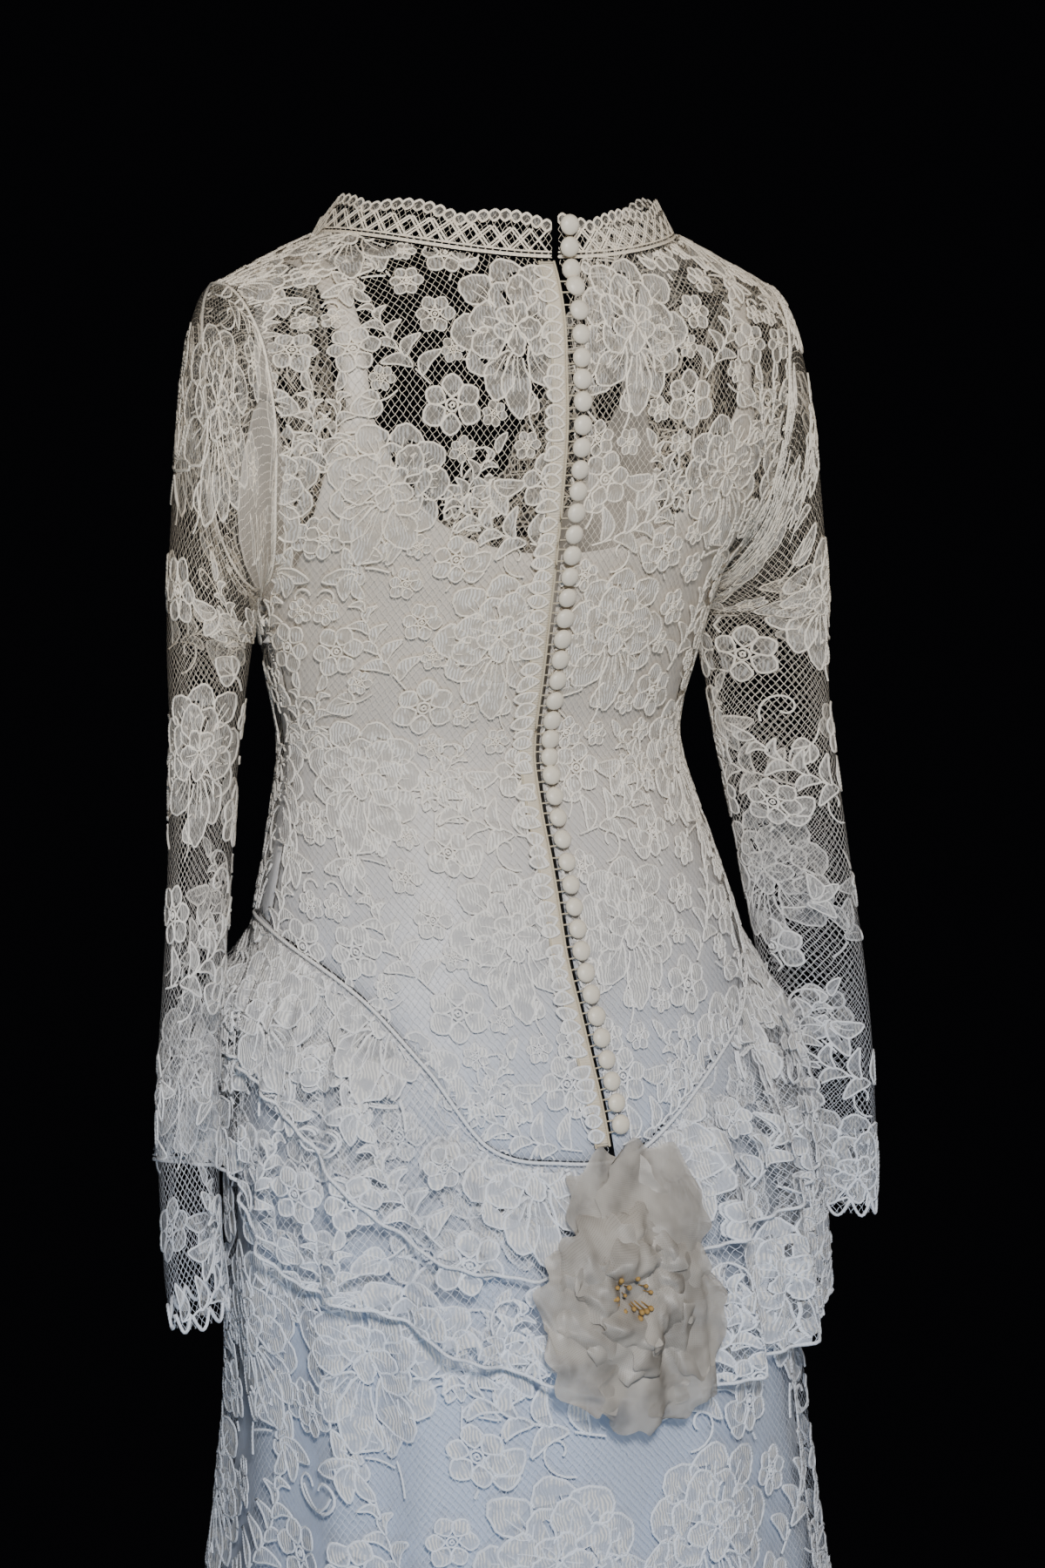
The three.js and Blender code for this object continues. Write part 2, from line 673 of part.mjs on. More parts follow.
function sleeve(side, table) {
  const steps = armholeSteps();
  const { first, last } = table;
  const armhole = (index, out) => {
    const step = steps[index];
    const panel = { face: step.face, side: 1, start: () => 0 };
    const point = panelPoint(panel, 1, step.level, out);
    point.x += SEAM_GAP;
    return point;
  };
  const capPoint = (index, share, out) => {
    const direction = stepAngle(index);
    const start = armhole(index, out);
    const end = ovalPoint(table, first, direction, out - LACE_OUT);
    const high = (1 + Math.cos(direction * RAD)) / 2;
    const outward = new THREE.Vector3(1, CAP_PUFF * Math.sin(direction * RAD), CAP_PUFF * Math.cos(direction * RAD));
    outward.normalize().multiplyScalar(THREE.MathUtils.lerp(CAP_START_PULL.bottom, CAP_START_PULL.top, high));
    const down = new THREE.Vector3(0, 0, -THREE.MathUtils.lerp(CAP_END_PULL.bottom, CAP_END_PULL.top, high));
    const t = share;
    const a = 2 * t ** 3 - 3 * t ** 2 + 1;
    const b = t ** 3 - 2 * t ** 2 + t;
    const c = 3 * t ** 2 - 2 * t ** 3;
    const d = t ** 3 - t ** 2;
    return start.multiplyScalar(a).addScaledVector(outward, b).addScaledVector(end, c).addScaledVector(down, d);
  };
  const place = (row, index, out) => {
    let point;
    if (row <= 1) {
      point = capPoint(index, row, out);
    } else {
      const direction = stepAngle(index);
      const end = last + (index % 2 ? CUFF_SCALLOP : 0);
      point = ovalPoint(table, first + (end - first) * (row - 1), direction, out - LACE_OUT);
    }
    point.x *= side;
    return point;
  };
  const rows = [...range(CAP_ROWS), ...range(SLEEVE_ROWS, 1, 2).slice(1)];
  const columns = Array.from({ length: steps.length }, (_, i) => i);
  return wallFrom(rows, columns, place, LACE_OUT, LACE_OUT + LACE_WALL, true);
}

// The scalloped lace edging follows the neck edge of both back panels and the front.
// Its stations divide the straight stretches between the panels' columns.
const COLLAR_DIVISIONS = 2;
const COLLAR_LEAN = { inward: 0.6, forward: -0.1, frontShare: 0.6, frontBlend: 2.5, frontStep: 4 };
function collarStations(side) {
  const back = side > 0 ? PANELS.backLeft : PANELS.backRight;
  const front = { ...PANELS.front, side };
  const middle = LACE_OUT + LACE_WALL / 2;
  const { inward, forward, frontShare, frontBlend, frontStep } = COLLAR_LEAN;
  const stand = new THREE.Vector3(-side * inward, forward, 1).normalize();
  const corners = neckColumns(back).map((q) => {
    const edge = panelPoint(back, q, laceTop(back, q), middle);
    const lean = new THREE.Vector3(-inward * edge.x / NECK_HALF, forward, 1).normalize();
    return { edge, lean };
  });
  const shoulder = neckColumns(front).length - 1;
  neckColumns(front).reverse().forEach((q, k) => {
    const level = laceTop(front, q);
    const edge = panelPoint(front, q, level, middle);
    const upward = edge.clone().sub(panelPoint(front, q, level - frontStep, middle)).normalize();
    const wide = Math.abs(edge.x) / NECK_HALF;
    const lean = upward.multiplyScalar(1 - frontShare * wide).add(new THREE.Vector3(-side * wide, 0, 0)).normalize();
    lean.lerp(stand, Math.max(0, 1 - frontBlend * k / shoulder)).normalize();
    corners.push({ edge, lean });
  });
  const stations = [corners[0]];
  for (let i = 1; i < corners.length; i += 1) {
    for (const t of range(COLLAR_DIVISIONS).slice(1)) {
      stations.push({
        edge: corners[i - 1].edge.clone().lerp(corners[i].edge, t),
        lean: corners[i - 1].lean.clone().lerp(corners[i].lean, t).normalize(),
      });
    }
  }
  return stations.filter((station, i) => i === 0 || station.edge.distanceTo(stations[i - 1].edge) > 1);
}

function collar() {
  const left = collarStations(1);
  const route = [...left, ...collarStations(-1).reverse().slice(1)];
  const middle = left.length - 1;
  let walked = 0;
  route.forEach((station, i) => {
    if (i > 0) walked += station.edge.distanceTo(route[i - 1].edge);
    station.scallop = SCALLOP_DEPTH * Math.abs(Math.sin(Math.PI * walked / SCALLOP_PITCH));
    const before = route[Math.max(i - 1, 0)].edge;
    const after = route[Math.min(i + 1, route.length - 1)].edge;
    station.normal = after.clone().sub(before).cross(station.lean).normalize();
    if (i === middle) station.normal.set(0, -1, 0.1).normalize();
  });
  const place = (row, station, out) => {
    const height = COLLAR_GAP + (COLLAR_HEIGHT - SCALLOP_DEPTH + station.scallop) * row;
    return station.edge.clone().addScaledVector(station.lean, height).addScaledVector(station.normal, out);
  };
  return wallFrom(range(2), route, place, -LACE_WALL / 2, LACE_WALL / 2);
}

// The tape with the thread loops lies on the edge of the wearer's left panel
function loopPlacket() {
  const panel = PANELS.backLeft;
  const low = LACE_OUT + LACE_WALL + STACK_GAP;
  const place = (row, q, out) => lacePoint(panel, row, q, out);
  return wallFrom(PANEL_ROWS, neckColumns(panel).slice(0, 2), place, low, low + PLACKET_WALL);
}

// The middle of the button stand at one height: the panel's first two columns, halfway
function standPoint(height, out) {
  const panel = PANELS.backRight;
  const [first, second] = neckColumns(panel);
  const middle = (row) => lacePoint(panel, row, first, out).lerp(lacePoint(panel, row, second, out), 0.5);
  const points = PANEL_ROWS.map(middle);
  const k = Math.max(points.findIndex((point) => point.z >= height), 1);
  const [below, above] = points[k] && height <= points[points.length - 1].z
    ? [points[k - 1], points[k]]
    : points.slice(-2);
  const t = (height - below.z) / (above.z - below.z);
  return { point: below.clone().lerp(above, t), along: above.clone().sub(below).normalize() };
}

// One covered button: a shallow dome on a short neck
const BUTTON_PROFILE = [
  { out: 0, radius: 3 },
  { out: 2, radius: BUTTON_RADIUS },
  { out: 4.6, radius: BUTTON_RADIUS * 0.86 },
];
function button(index) {
  const share = index / (BUTTON_COUNT - 1);
  const height = BUTTON_TOP + (BUTTON_END - BUTTON_TOP) * share;
  const seatOut = LACE_OUT + LACE_WALL + BUTTON_GAP;
  const neck = lacePoint(PANELS.backRight, 2, 0, seatOut).z;
  const low = standPoint(Math.min(height, neck), seatOut);
  const seat = low.point;
  const up = standPoint(height - BUTTON_RADIUS, seatOut).point;
  up.subVectors(standPoint(Math.min(height + BUTTON_RADIUS, neck), seatOut).point, up).normalize();
  if (height > neck - COLLAR_BUTTON_MARGIN) {
    seat.z = height;
    seat.y += COLLAR_BUTTON_LIFT;
    up.set(0, 0, 1);
  }
  const side = new THREE.Vector3(-1, 0, 0);
  const normal = up.clone().cross(side).normalize();
  if (normal.y < 0) normal.negate();
  const vertices = [];
  const faces = [];
  for (const ring of BUTTON_PROFILE) {
    for (let k = 0; k < BUTTON_SIDES; k += 1) {
      const angle = 2 * Math.PI * k / BUTTON_SIDES;
      const p = seat.clone().addScaledVector(normal, ring.out);
      p.addScaledVector(side, ring.radius * Math.cos(angle)).addScaledVector(up, ring.radius * Math.sin(angle));
      vertices.push(p.x, p.y, p.z);
    }
  }
  const crown = seat.clone().addScaledVector(normal, BUTTON_HEIGHT);
  vertices.push(seat.x, seat.y, seat.z, crown.x, crown.y, crown.z);
  const rings = BUTTON_PROFILE.length;
  const base = rings * BUTTON_SIDES;
  for (let k = 0; k < BUTTON_SIDES; k += 1) {
    const next = (k + 1) % BUTTON_SIDES;
    faces.push(base, next, k);
    for (let i = 0; i < rings - 1; i += 1) {
      const a = i * BUTTON_SIDES;
      const b = a + BUTTON_SIDES;
      faces.push(a + k, a + next, b + next, a + k, b + next, b + k);
    }
    const last = (rings - 1) * BUTTON_SIDES;
    faces.push(last + k, last + next, base + 1);
  }
  return solid(vertices, faces);
}

// The flower: ruffled petals round a low middle, with its back laid over the peplum
const FLOWER_SEARCH = { angle: 50, steps: 50 };
function flowerBack(x, z) {
  let back = 0;
  for (const rise of [-FLOWER_MARGIN, 0, FLOWER_MARGIN]) {
    for (const angle of range(FLOWER_SEARCH.steps, -FLOWER_SEARCH.angle, FLOWER_SEARCH.angle)) {
      const level = Math.max(z + rise, lowerHem(angle));
      const top = seamLevel(angle) - SEAM_GAP;
      const drop = Math.max(top - level, 0);
      const tier = level > upperHem(angle) - FLOWER_MARGIN ? TIER_EASE * smooth(drop / TIER_DROP) + STACK : 0;
      const out = LINING_IN + 2 * STACK + LACE_WALL + peplumOut(angle, drop) + tier;
      const point = skirtPoint(angle, level, out);
      if (Math.abs(point.x - x) < FLOWER_MARGIN) back = Math.max(back, point.y);
    }
  }
  return back;
}

const NOTCH = 0.16;
const EDGE_THICKNESS = 1.6;
const RUFFLE = { height: 5, waves: 3, twist: 4 };
const CROWN = { power: 2.4, low: 0.72, high: 0.28, turns: 2.2 };
function flower() {
  const vertices = [];
  const faces = [];
  const outline = (angle) => 1 - NOTCH * (1 - Math.abs(Math.cos(FLOWER.petals * angle / 2)));
  const place = (ring, k, front) => {
    const angle = 2 * Math.PI * k / FLOWER_SPOKES;
    const share = ring / FLOWER_RINGS * outline(angle);
    const x = FLOWER.x + FLOWER.halfWide * share * Math.cos(angle);
    const z = FLOWER.z + FLOWER.halfTall * share * Math.sin(angle);
    const back = flowerBack(x, z) + FLOWER_LIFT;
    if (!front) return [x, back, z];
    const ruffle = RUFFLE.height * Math.cos(RUFFLE.waves * angle + RUFFLE.twist * share) * share;
    const swell = CROWN.low + CROWN.high * Math.cos(CROWN.turns * Math.PI * share);
    const body = FLOWER.depth * (1 - share ** CROWN.power) * swell;
    return [x, back + EDGE_THICKNESS + Math.max(body + ruffle, 0), z];
  };
  for (const front of [true, false]) {
    vertices.push(...place(0, 0, front));
    for (let ring = 1; ring <= FLOWER_RINGS; ring += 1) {
      for (let k = 0; k < FLOWER_SPOKES; k += 1) vertices.push(...place(ring, k, front));
    }
  }
  const half = 1 + FLOWER_RINGS * FLOWER_SPOKES;
  const at = (layer, ring, k) => layer * half + 1 + (ring - 1) * FLOWER_SPOKES + (k % FLOWER_SPOKES);
  for (const layer of [0, 1]) {
    const push = (a, b, c) => (layer ? faces.push(a, c, b) : faces.push(a, b, c));
    for (let k = 0; k < FLOWER_SPOKES; k += 1) {
      push(layer * half, at(layer, 1, k), at(layer, 1, k + 1));
      for (let ring = 1; ring < FLOWER_RINGS; ring += 1) {
        push(at(layer, ring, k), at(layer, ring + 1, k), at(layer, ring + 1, k + 1));
        push(at(layer, ring, k), at(layer, ring + 1, k + 1), at(layer, ring, k + 1));
      }
    }
  }
  for (let k = 0; k < FLOWER_SPOKES; k += 1) {
    const a = at(0, FLOWER_RINGS, k);
    const b = at(0, FLOWER_RINGS, k + 1);
    const c = at(1, FLOWER_RINGS, k + 1);
    const d = at(1, FLOWER_RINGS, k);
    faces.push(a, c, b, a, d, c);
  }
  return solid(vertices, faces);
}

// The dress
const dress = new THREE.Group();
function add(name, geometry, finish) {
  const mesh = new THREE.Mesh(geometry, new THREE.MeshStandardMaterial(finish));
  mesh.name = name;
  dress.add(mesh);
}

add("lining_front", liningFront(), SATIN);
add("lining_back_left", liningBack(PANELS.backLeft), SATIN);
add("lining_back_right", liningBack(PANELS.backRight), SATIN);
add("strap_left", strap(1), SATIN);
add("strap_right", strap(-1), SATIN);
add("lace_front", laceFront(), IVORY_LACE);
add("lace_back_left", lacePanel(PANELS.backLeft), IVORY_LACE);
add("lace_back_right", lacePanel(PANELS.backRight), IVORY_LACE);
add("sleeve_left", sleeve(1, sleeveTable(SLEEVES.left)), IVORY_LACE);
add("sleeve_right", sleeve(-1, sleeveTable(SLEEVES.right)), IVORY_LACE);
add("collar", collar(), IVORY_LACE);
add("loop_placket", loopPlacket(), ECRU_TAPE);
add("skirt_lining", skirtLining(), SATIN);
add("skirt_lace", skirtLace(), IVORY_LACE);
add("peplum_lower", peplumLower(), IVORY_LACE);
add("peplum_upper", peplumUpper(), IVORY_LACE);
add("flower", flower(), ORGANZA);
for (let index = 0; index < BUTTON_COUNT; index += 1) {
  add(`button_${String(index + 1).padStart(2, "0")}`, button(index), BUTTON_SATIN);
}

export default dress;
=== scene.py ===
"""A lace wedding dress, filled out as worn with nobody in it, dressed on its construction model.

Lengths are worked out in millimetres and written to the meshes in metres. The back of the
dress faces +Y and the wearer's left is +X. An angle runs round the body from the centre back
towards the wearer's left; a level is a height.
"""
import logging
import math
from collections.abc import Callable, Sequence
from dataclasses import dataclass, field
from enum import Enum

import bmesh
import bpy
import numpy as np
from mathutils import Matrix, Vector


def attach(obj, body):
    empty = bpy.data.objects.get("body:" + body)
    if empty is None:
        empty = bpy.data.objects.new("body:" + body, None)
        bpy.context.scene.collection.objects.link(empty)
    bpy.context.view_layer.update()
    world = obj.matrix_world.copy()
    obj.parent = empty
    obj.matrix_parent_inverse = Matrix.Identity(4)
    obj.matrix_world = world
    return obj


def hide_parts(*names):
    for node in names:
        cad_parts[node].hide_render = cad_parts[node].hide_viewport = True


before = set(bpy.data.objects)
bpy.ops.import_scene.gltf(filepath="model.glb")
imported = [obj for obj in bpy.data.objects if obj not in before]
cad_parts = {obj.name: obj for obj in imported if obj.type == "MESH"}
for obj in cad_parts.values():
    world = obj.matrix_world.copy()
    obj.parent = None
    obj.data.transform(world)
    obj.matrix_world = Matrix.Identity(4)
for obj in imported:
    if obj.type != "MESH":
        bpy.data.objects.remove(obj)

LOG = logging.getLogger("dress")
MM = 0.001
BODY = "root"
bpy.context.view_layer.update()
Array = np.ndarray


class Table:
    """A short table with named columns, read as smooth curves."""

    def __init__(self, names: str, *rows: Sequence[float]) -> None:
        """Keep the rows under their column names.

        Args:
            names: the columns' names, parted by spaces.
            rows: one row of numbers for each section.
        """
        self.names = names.split()
        self.rows = np.array(rows, float)

    def curve(self, name: str, at: Array | float) -> Array:
        """Read a column at places given in the first column.

        Args:
            name: the column to read.
            at: where to read it.

        Returns:
            The smooth curve's values there.
        """
        order = np.argsort(self.rows[:, 0])
        xs = self.rows[order, 0]
        ys = self.rows[order, self.names.index(name)]
        at = np.clip(np.asarray(at, float), xs[0], xs[-1])
        run = np.r_[xs[1:], xs[-1]] - np.r_[xs[0], xs[:-1]]
        slopes = (np.r_[ys[1:], ys[-1]] - np.r_[ys[0], ys[:-1]]) / run
        i = np.clip(np.searchsorted(xs, at, side="right") - 1, 0, len(xs) - 2)
        span = xs[i + 1] - xs[i]
        t = (at - xs[i]) / span
        rise = ys[i + 1] - ys[i]
        first = slopes[i] * span - rise
        second = rise - slopes[i + 1] * span
        return ys[i] + rise * t + t * (1 - t) * (first * (1 - t) + second * t)


def smooth(t: Array | float) -> Array:
    """Ease from 0 to 1."""
    t = np.clip(t, 0, 1)
    return t * t * (3 - 2 * t)


def unit(v: Array) -> Array:
    """Scale rows of vectors to length one."""
    return v / np.maximum(np.linalg.norm(v, axis=-1, keepdims=True), 1e-9)


@dataclass(frozen=True)
class Form:
    """The shape that the dress keeps as worn, from its sections."""

    underarm: float = -203
    cap_start: float = -60
    cap_reach: float = 100
    neck_half: float = 118
    shoulder_half: float = 185
    ridge_top: float = 40
    ridge_drop: float = 32
    ridge_power: float = 1.471
    neck_back: float = -6
    neck_side: float = 8
    front_scoop: float = -205
    seam_gap: float = 0.4
    skirt_ease: float = 4
    peplum_ease: float = 4
    tier_ease: float = 3.5
    left_edge: float = 9
    right_edge: float = -4.5
    front_start: float = 90.001
    front_share: float = 0.9999
    sections: Table = Table(
        "level edge oval back front middle",
        (-600, 184, 184, 132, 118, 20), (-520, 179, 179, 122, 112, 13), (-450, 168, 168, 112, 112, 3),
        (-380, 149, 149, 101, 106, -9), (-340, 138, 138, 93, 100, -18), (-305, 133, 133, 88, 98, -22),
        (-250, 144, 144, 95, 110, -16), (-203, 157, 157, 100, 112, -10), (-190, 160, 166, 101, 108, -8),
        (-170, 165, 182, 103, 100, -6), (-150, 169, 195, 105, 92, -4), (-100, 173, 208, 108, 82, 0),
        (-60, 176, 206, 106, 78, 0), (-20, 180, 204, 106, 78, 0), (40, 185, 204, 106, 78, 0),
    )
    skirts: Table = Table(
        "level half back front middle",
        (-1430, 305, 345, 300, 10), (-1100, 238, 238, 222, 22), (-850, 194, 176, 172, 30),
        (-730, 184, 154, 148, 29), (-600, 184, 132, 118, 20), (-520, 179, 122, 112, 13),
        (-450, 168, 112, 112, 3), (-380, 149, 101, 106, -9),
    )
    seam: Table = Table(
        "angle level",
        (-180, -432), (-130, -426), (-95, -424), (-70, -444), (-50, -482), (-30, -512), (-12, -544),
        (-5, -552), (8, -550), (23, -537), (35, -490), (50, -450), (70, -426), (95, -414), (130, -420),
        (180, -432),
    )
    hems: Table = Table(
        "angle upper lower",
        (-180, -545, -628), (-130, -545, -640), (-90, -560, -664), (-60, -590, -680), (-30, -608, -692),
        (0, -612, -690), (25, -606, -660), (45, -572, -628), (65, -516, -612), (90, -492, -566),
        (130, -520, -590), (180, -545, -628),
    )
    flutes: Table = Table(
        "angle width reach",
        (-165, 12, 20), (-132, 11, 24), (-112, 9, 18), (-62, 9, 16), (-44, 8, 16), (-24, 6, 13),
        (14, 6, 14), (32, 7, 24), (52, 7, 20), (70, 6, 16), (106, 9, 30), (134, 11, 20), (162, 10, 24),
    )
    folds: Table = Table(
        "angle width reach",
        (-170, 9, 16), (-141, 8, 20), (-116, 8, 14), (-90, 6, 12), (-68, 6, 20), (-47, 7, 16),
        (-20, 8, 12), (6, 7, 15), (24, 6, 20), (41, 5, 24), (60, 6, 22), (84, 7, 12), (110, 8, 20),
        (138, 9, 15), (164, 8, 18),
    )
    opening: Table = Table("level shift", (-600, -16), (-530, -12), (-470, -5), (-420, 0), (60, 0))
    lining_edge: Table = Table(
        "share back front",
        (0, -181, -226), (0.25, -176, -220), (0.45, -163, -204), (0.58, -143, -178), (0.68, -113, -132),
        (0.722, -92, -92), (0.8, -92, -92), (0.86, -122, -122), (0.93, -172, -172), (1, -210, -210),
    )

    @property
    def shoulder(self) -> float:
        """Level of the shoulder ridge."""
        return self.cap_start + self.cap_reach

    def ridge(self, x: Array) -> Array:
        """Height of the shoulder ridge at a distance from the middle."""
        return self.ridge_top - self.ridge_drop * (np.abs(x) / self.neck_half) ** self.ridge_power

    def raw(self, angle: Array, level: Array) -> Array:
        """A point of the bodice's form, with no distance out.

        Args:
            angle: degrees round the body.
            level: heights; above cap_start they bend over to the shoulder ridge.

        Returns:
            Points, in millimetres.
        """
        angle, level = np.broadcast_arrays(np.asarray(angle, float), np.asarray(level, float))
        turn = np.radians(angle)
        face = np.where(np.abs(angle) <= 90, 1.0, -1.0)
        x = self.sections.curve("edge", level) * np.sin(turn)
        back = self.sections.curve("back", level)
        depth = np.where(face > 0, back, self.sections.curve("front", level))
        share = np.clip(np.abs(x) / self.sections.curve("oval", level), 0, 1)
        flat = depth * np.sqrt(1 - share**2)
        bend = np.clip((level - self.cap_start) / self.cap_reach, 0, 1) * math.pi / 2
        high = np.where(
            level > self.cap_start,
            self.cap_start + (self.ridge(x) - self.cap_start) * np.sin(bend),
            level,
        )
        y = self.sections.curve("middle", level) + face * flat * np.cos(bend)
        return np.stack([x, y, high], -1)

    def bodice(self, angle: Array, level: Array, out: Array | float) -> Array:
        """A point at a distance out from the bodice's form.

        Args:
            angle: degrees round the body.
            level: heights.
            out: distance along the form's normal.

        Returns:
            Points, in millimetres.
        """
        angle, level = np.broadcast_arrays(np.asarray(angle, float), np.asarray(level, float))
        face = np.where(np.abs(angle) <= 90, 1.0, -1.0)
        front = face < 0
        low = np.maximum(angle - 1, np.where(front, np.where(angle > 0, self.front_start, -np.inf), -90))
        high = np.minimum(angle + 1, np.where(front, np.where(angle < 0, -self.front_start, np.inf), 90))
        across = self.raw(high, level) - self.raw(low, level)
        along = self.raw(angle, level + 1) - self.raw(angle, level - 1)
        normal = unit(np.cross(across, along))
        flip = normal[..., 1] * face + 0.01 * normal[..., 2]
        normal = np.where((flip < 0)[..., None], -normal, normal)
        point = self.raw(angle, level) + normal * np.asarray(out, float)[..., None]
        point[..., 1] += face * self.seam_gap / 2
        return point

    def top(self, angle: Array) -> Array:
        """Top level of the lace: the neck edge, then the shoulder seam.

        Args:
            angle: degrees round the body.

        Returns:
            The levels at which the lace ends.
        """
        angle = np.asarray(angle, float)
        x = np.abs(self.shoulder_half * np.sin(np.radians(angle)))
        near = np.clip(x / self.neck_half, 0, 1)
        height = self.neck_back + (self.neck_side - self.neck_back) * near**2
        rise = self.ridge(np.minimum(x, self.neck_half)) - self.cap_start
        share = np.clip((height - self.cap_start) / rise, 0, 1)
        back = self.cap_start + self.cap_reach * np.arcsin(share) * 2 / math.pi
        neck = math.degrees(math.asin(self.neck_half / self.shoulder_half))
        part = np.clip((180 - np.abs(angle)) / neck, 0, 1)
        front = self.front_scoop + (self.shoulder - self.front_scoop) * (1 - np.sqrt(1 - part**2))
        level = np.where(np.abs(angle) <= 90, back, front)
        return np.where(x >= self.neck_half - 1e-6, self.shoulder, level)

    def seam_level(self, angle: Array) -> Array:
        """Level of the low seam between bodice and skirt."""
        return self.seam.curve("level", angle)

    def back_edge(self, side: int) -> float:
        """Distance of a back's edge from the opening's line, towards its own side."""
        return self.left_edge if side > 0 else self.right_edge

    def front_angle(self, away: Array) -> Array:
        """Angle for degrees from the centre front, which stops just short of the back's."""
        return 180 - away * self.front_share

    def panel(self, side: int, columns: int, rows: int, inset: float,
              ends: Callable) -> tuple[Array, Array]:
        """Grid of a bodice panel, whose edge at the opening slants.

        Args:
            side: 1 for the wearer's left back, -1 for the right back, 0 for the front.
            columns: steps across.
            rows: steps up.
            inset: how far the panel keeps from the opening's edge.
            ends: gives the lowest and highest levels at some angles.

        Returns:
            The grid's angles and levels.
        """
        up = np.linspace(0, 1, rows + 1)[:, None]
        across = np.linspace(0, 1, columns + 1)[None, :]
        level = np.full((rows + 1, columns + 1), -300.0)
        for _ in range(8):
            if side:
                start = self.opening.curve("shift", level) * side + self.back_edge(side) + inset
                first = np.degrees(np.arcsin(start / self.sections.curve("edge", level)))
                angle = side * (first + (90 - first) * across)
            else:
                away = 90 * (2 * across - 1)
                angle = np.where(away < 0, -self.front_angle(-away), self.front_angle(away)) + 0 * level
            low, high = ends(angle)
            level = low + (high - low) * up
        return angle, level

    def ridges(self, rows: Table, angle: Array) -> Array:
        """Sum of the soft ridges of a table round the body.

        Args:
            rows: the ridges' angles, widths and reaches.
            angle: degrees round the body.

        Returns:
            How far the ridges stand out.
        """
        angle = np.asarray(angle, float)
        total = np.zeros(angle.shape)
        for at, width, reach in rows.rows:
            away = (angle - at + 540) % 360 - 180
            total = total + reach * np.exp(-((away / width) ** 2))
        return total

    def skirt(self, angle: Array, level: Array, out: Array) -> Array:
        """A point of the skirt's form.

        Args:
            angle: degrees round the body.
            level: heights.
            out: distance out from the oval.

        Returns:
            Points, in millimetres.
        """
        turn = np.radians(angle)
        sin, cos = np.sin(turn), np.cos(turn)
        depth = np.where(cos > 0, self.skirts.curve("back", level), self.skirts.curve("front", level))
        half = self.skirts.curve("half", level)
        size = np.hypot(sin / half, cos / depth)
        x = half * sin + sin / half / size * out
        y = self.skirts.curve("middle", level) + depth * cos + cos / depth / size * out
        return np.stack([x, y, np.broadcast_to(level, x.shape)], -1)

    def skirt_out(self, angle: Array, drop: Array) -> Array:
        """How far the lace skirt stands off its oval.

        Args:
            angle: degrees round the body.
            drop: distances below the seam.

        Returns:
            Distances out.
        """
        open_share = 0.25 * smooth(drop / 120) + 0.75 * smooth(drop / 900)
        return self.skirt_ease * smooth(drop / 60) + self.ridges(self.folds, angle) * open_share

    def peplum_out(self, angle: Array, drop: Array) -> Array:
        """How far the peplum's lower tier, whose flutes open towards its hem, stands off the same oval.

        Args:
            angle: degrees round the body.
            drop: distances below the seam.

        Returns:
            Distances out.
        """
        opening = np.clip(drop / 130, 0, 1.15) ** 1.2
        ease = self.peplum_ease * smooth(drop / 60)
        fine = np.sin(angle * 0.42) + np.sin(angle * 0.71 + 1.3) + 0.8 * np.sin(angle * 1.17 + 0.4)
        gathers = 2.1 * (fine + 0.9) * smooth(drop / 45)
        return self.skirt_out(angle, drop) + ease + gathers + self.ridges(self.flutes, angle) * opening


FORM = Form()
LINING_OUT = 0.3
LACE_OUT = 4.3
STACK = 1.4


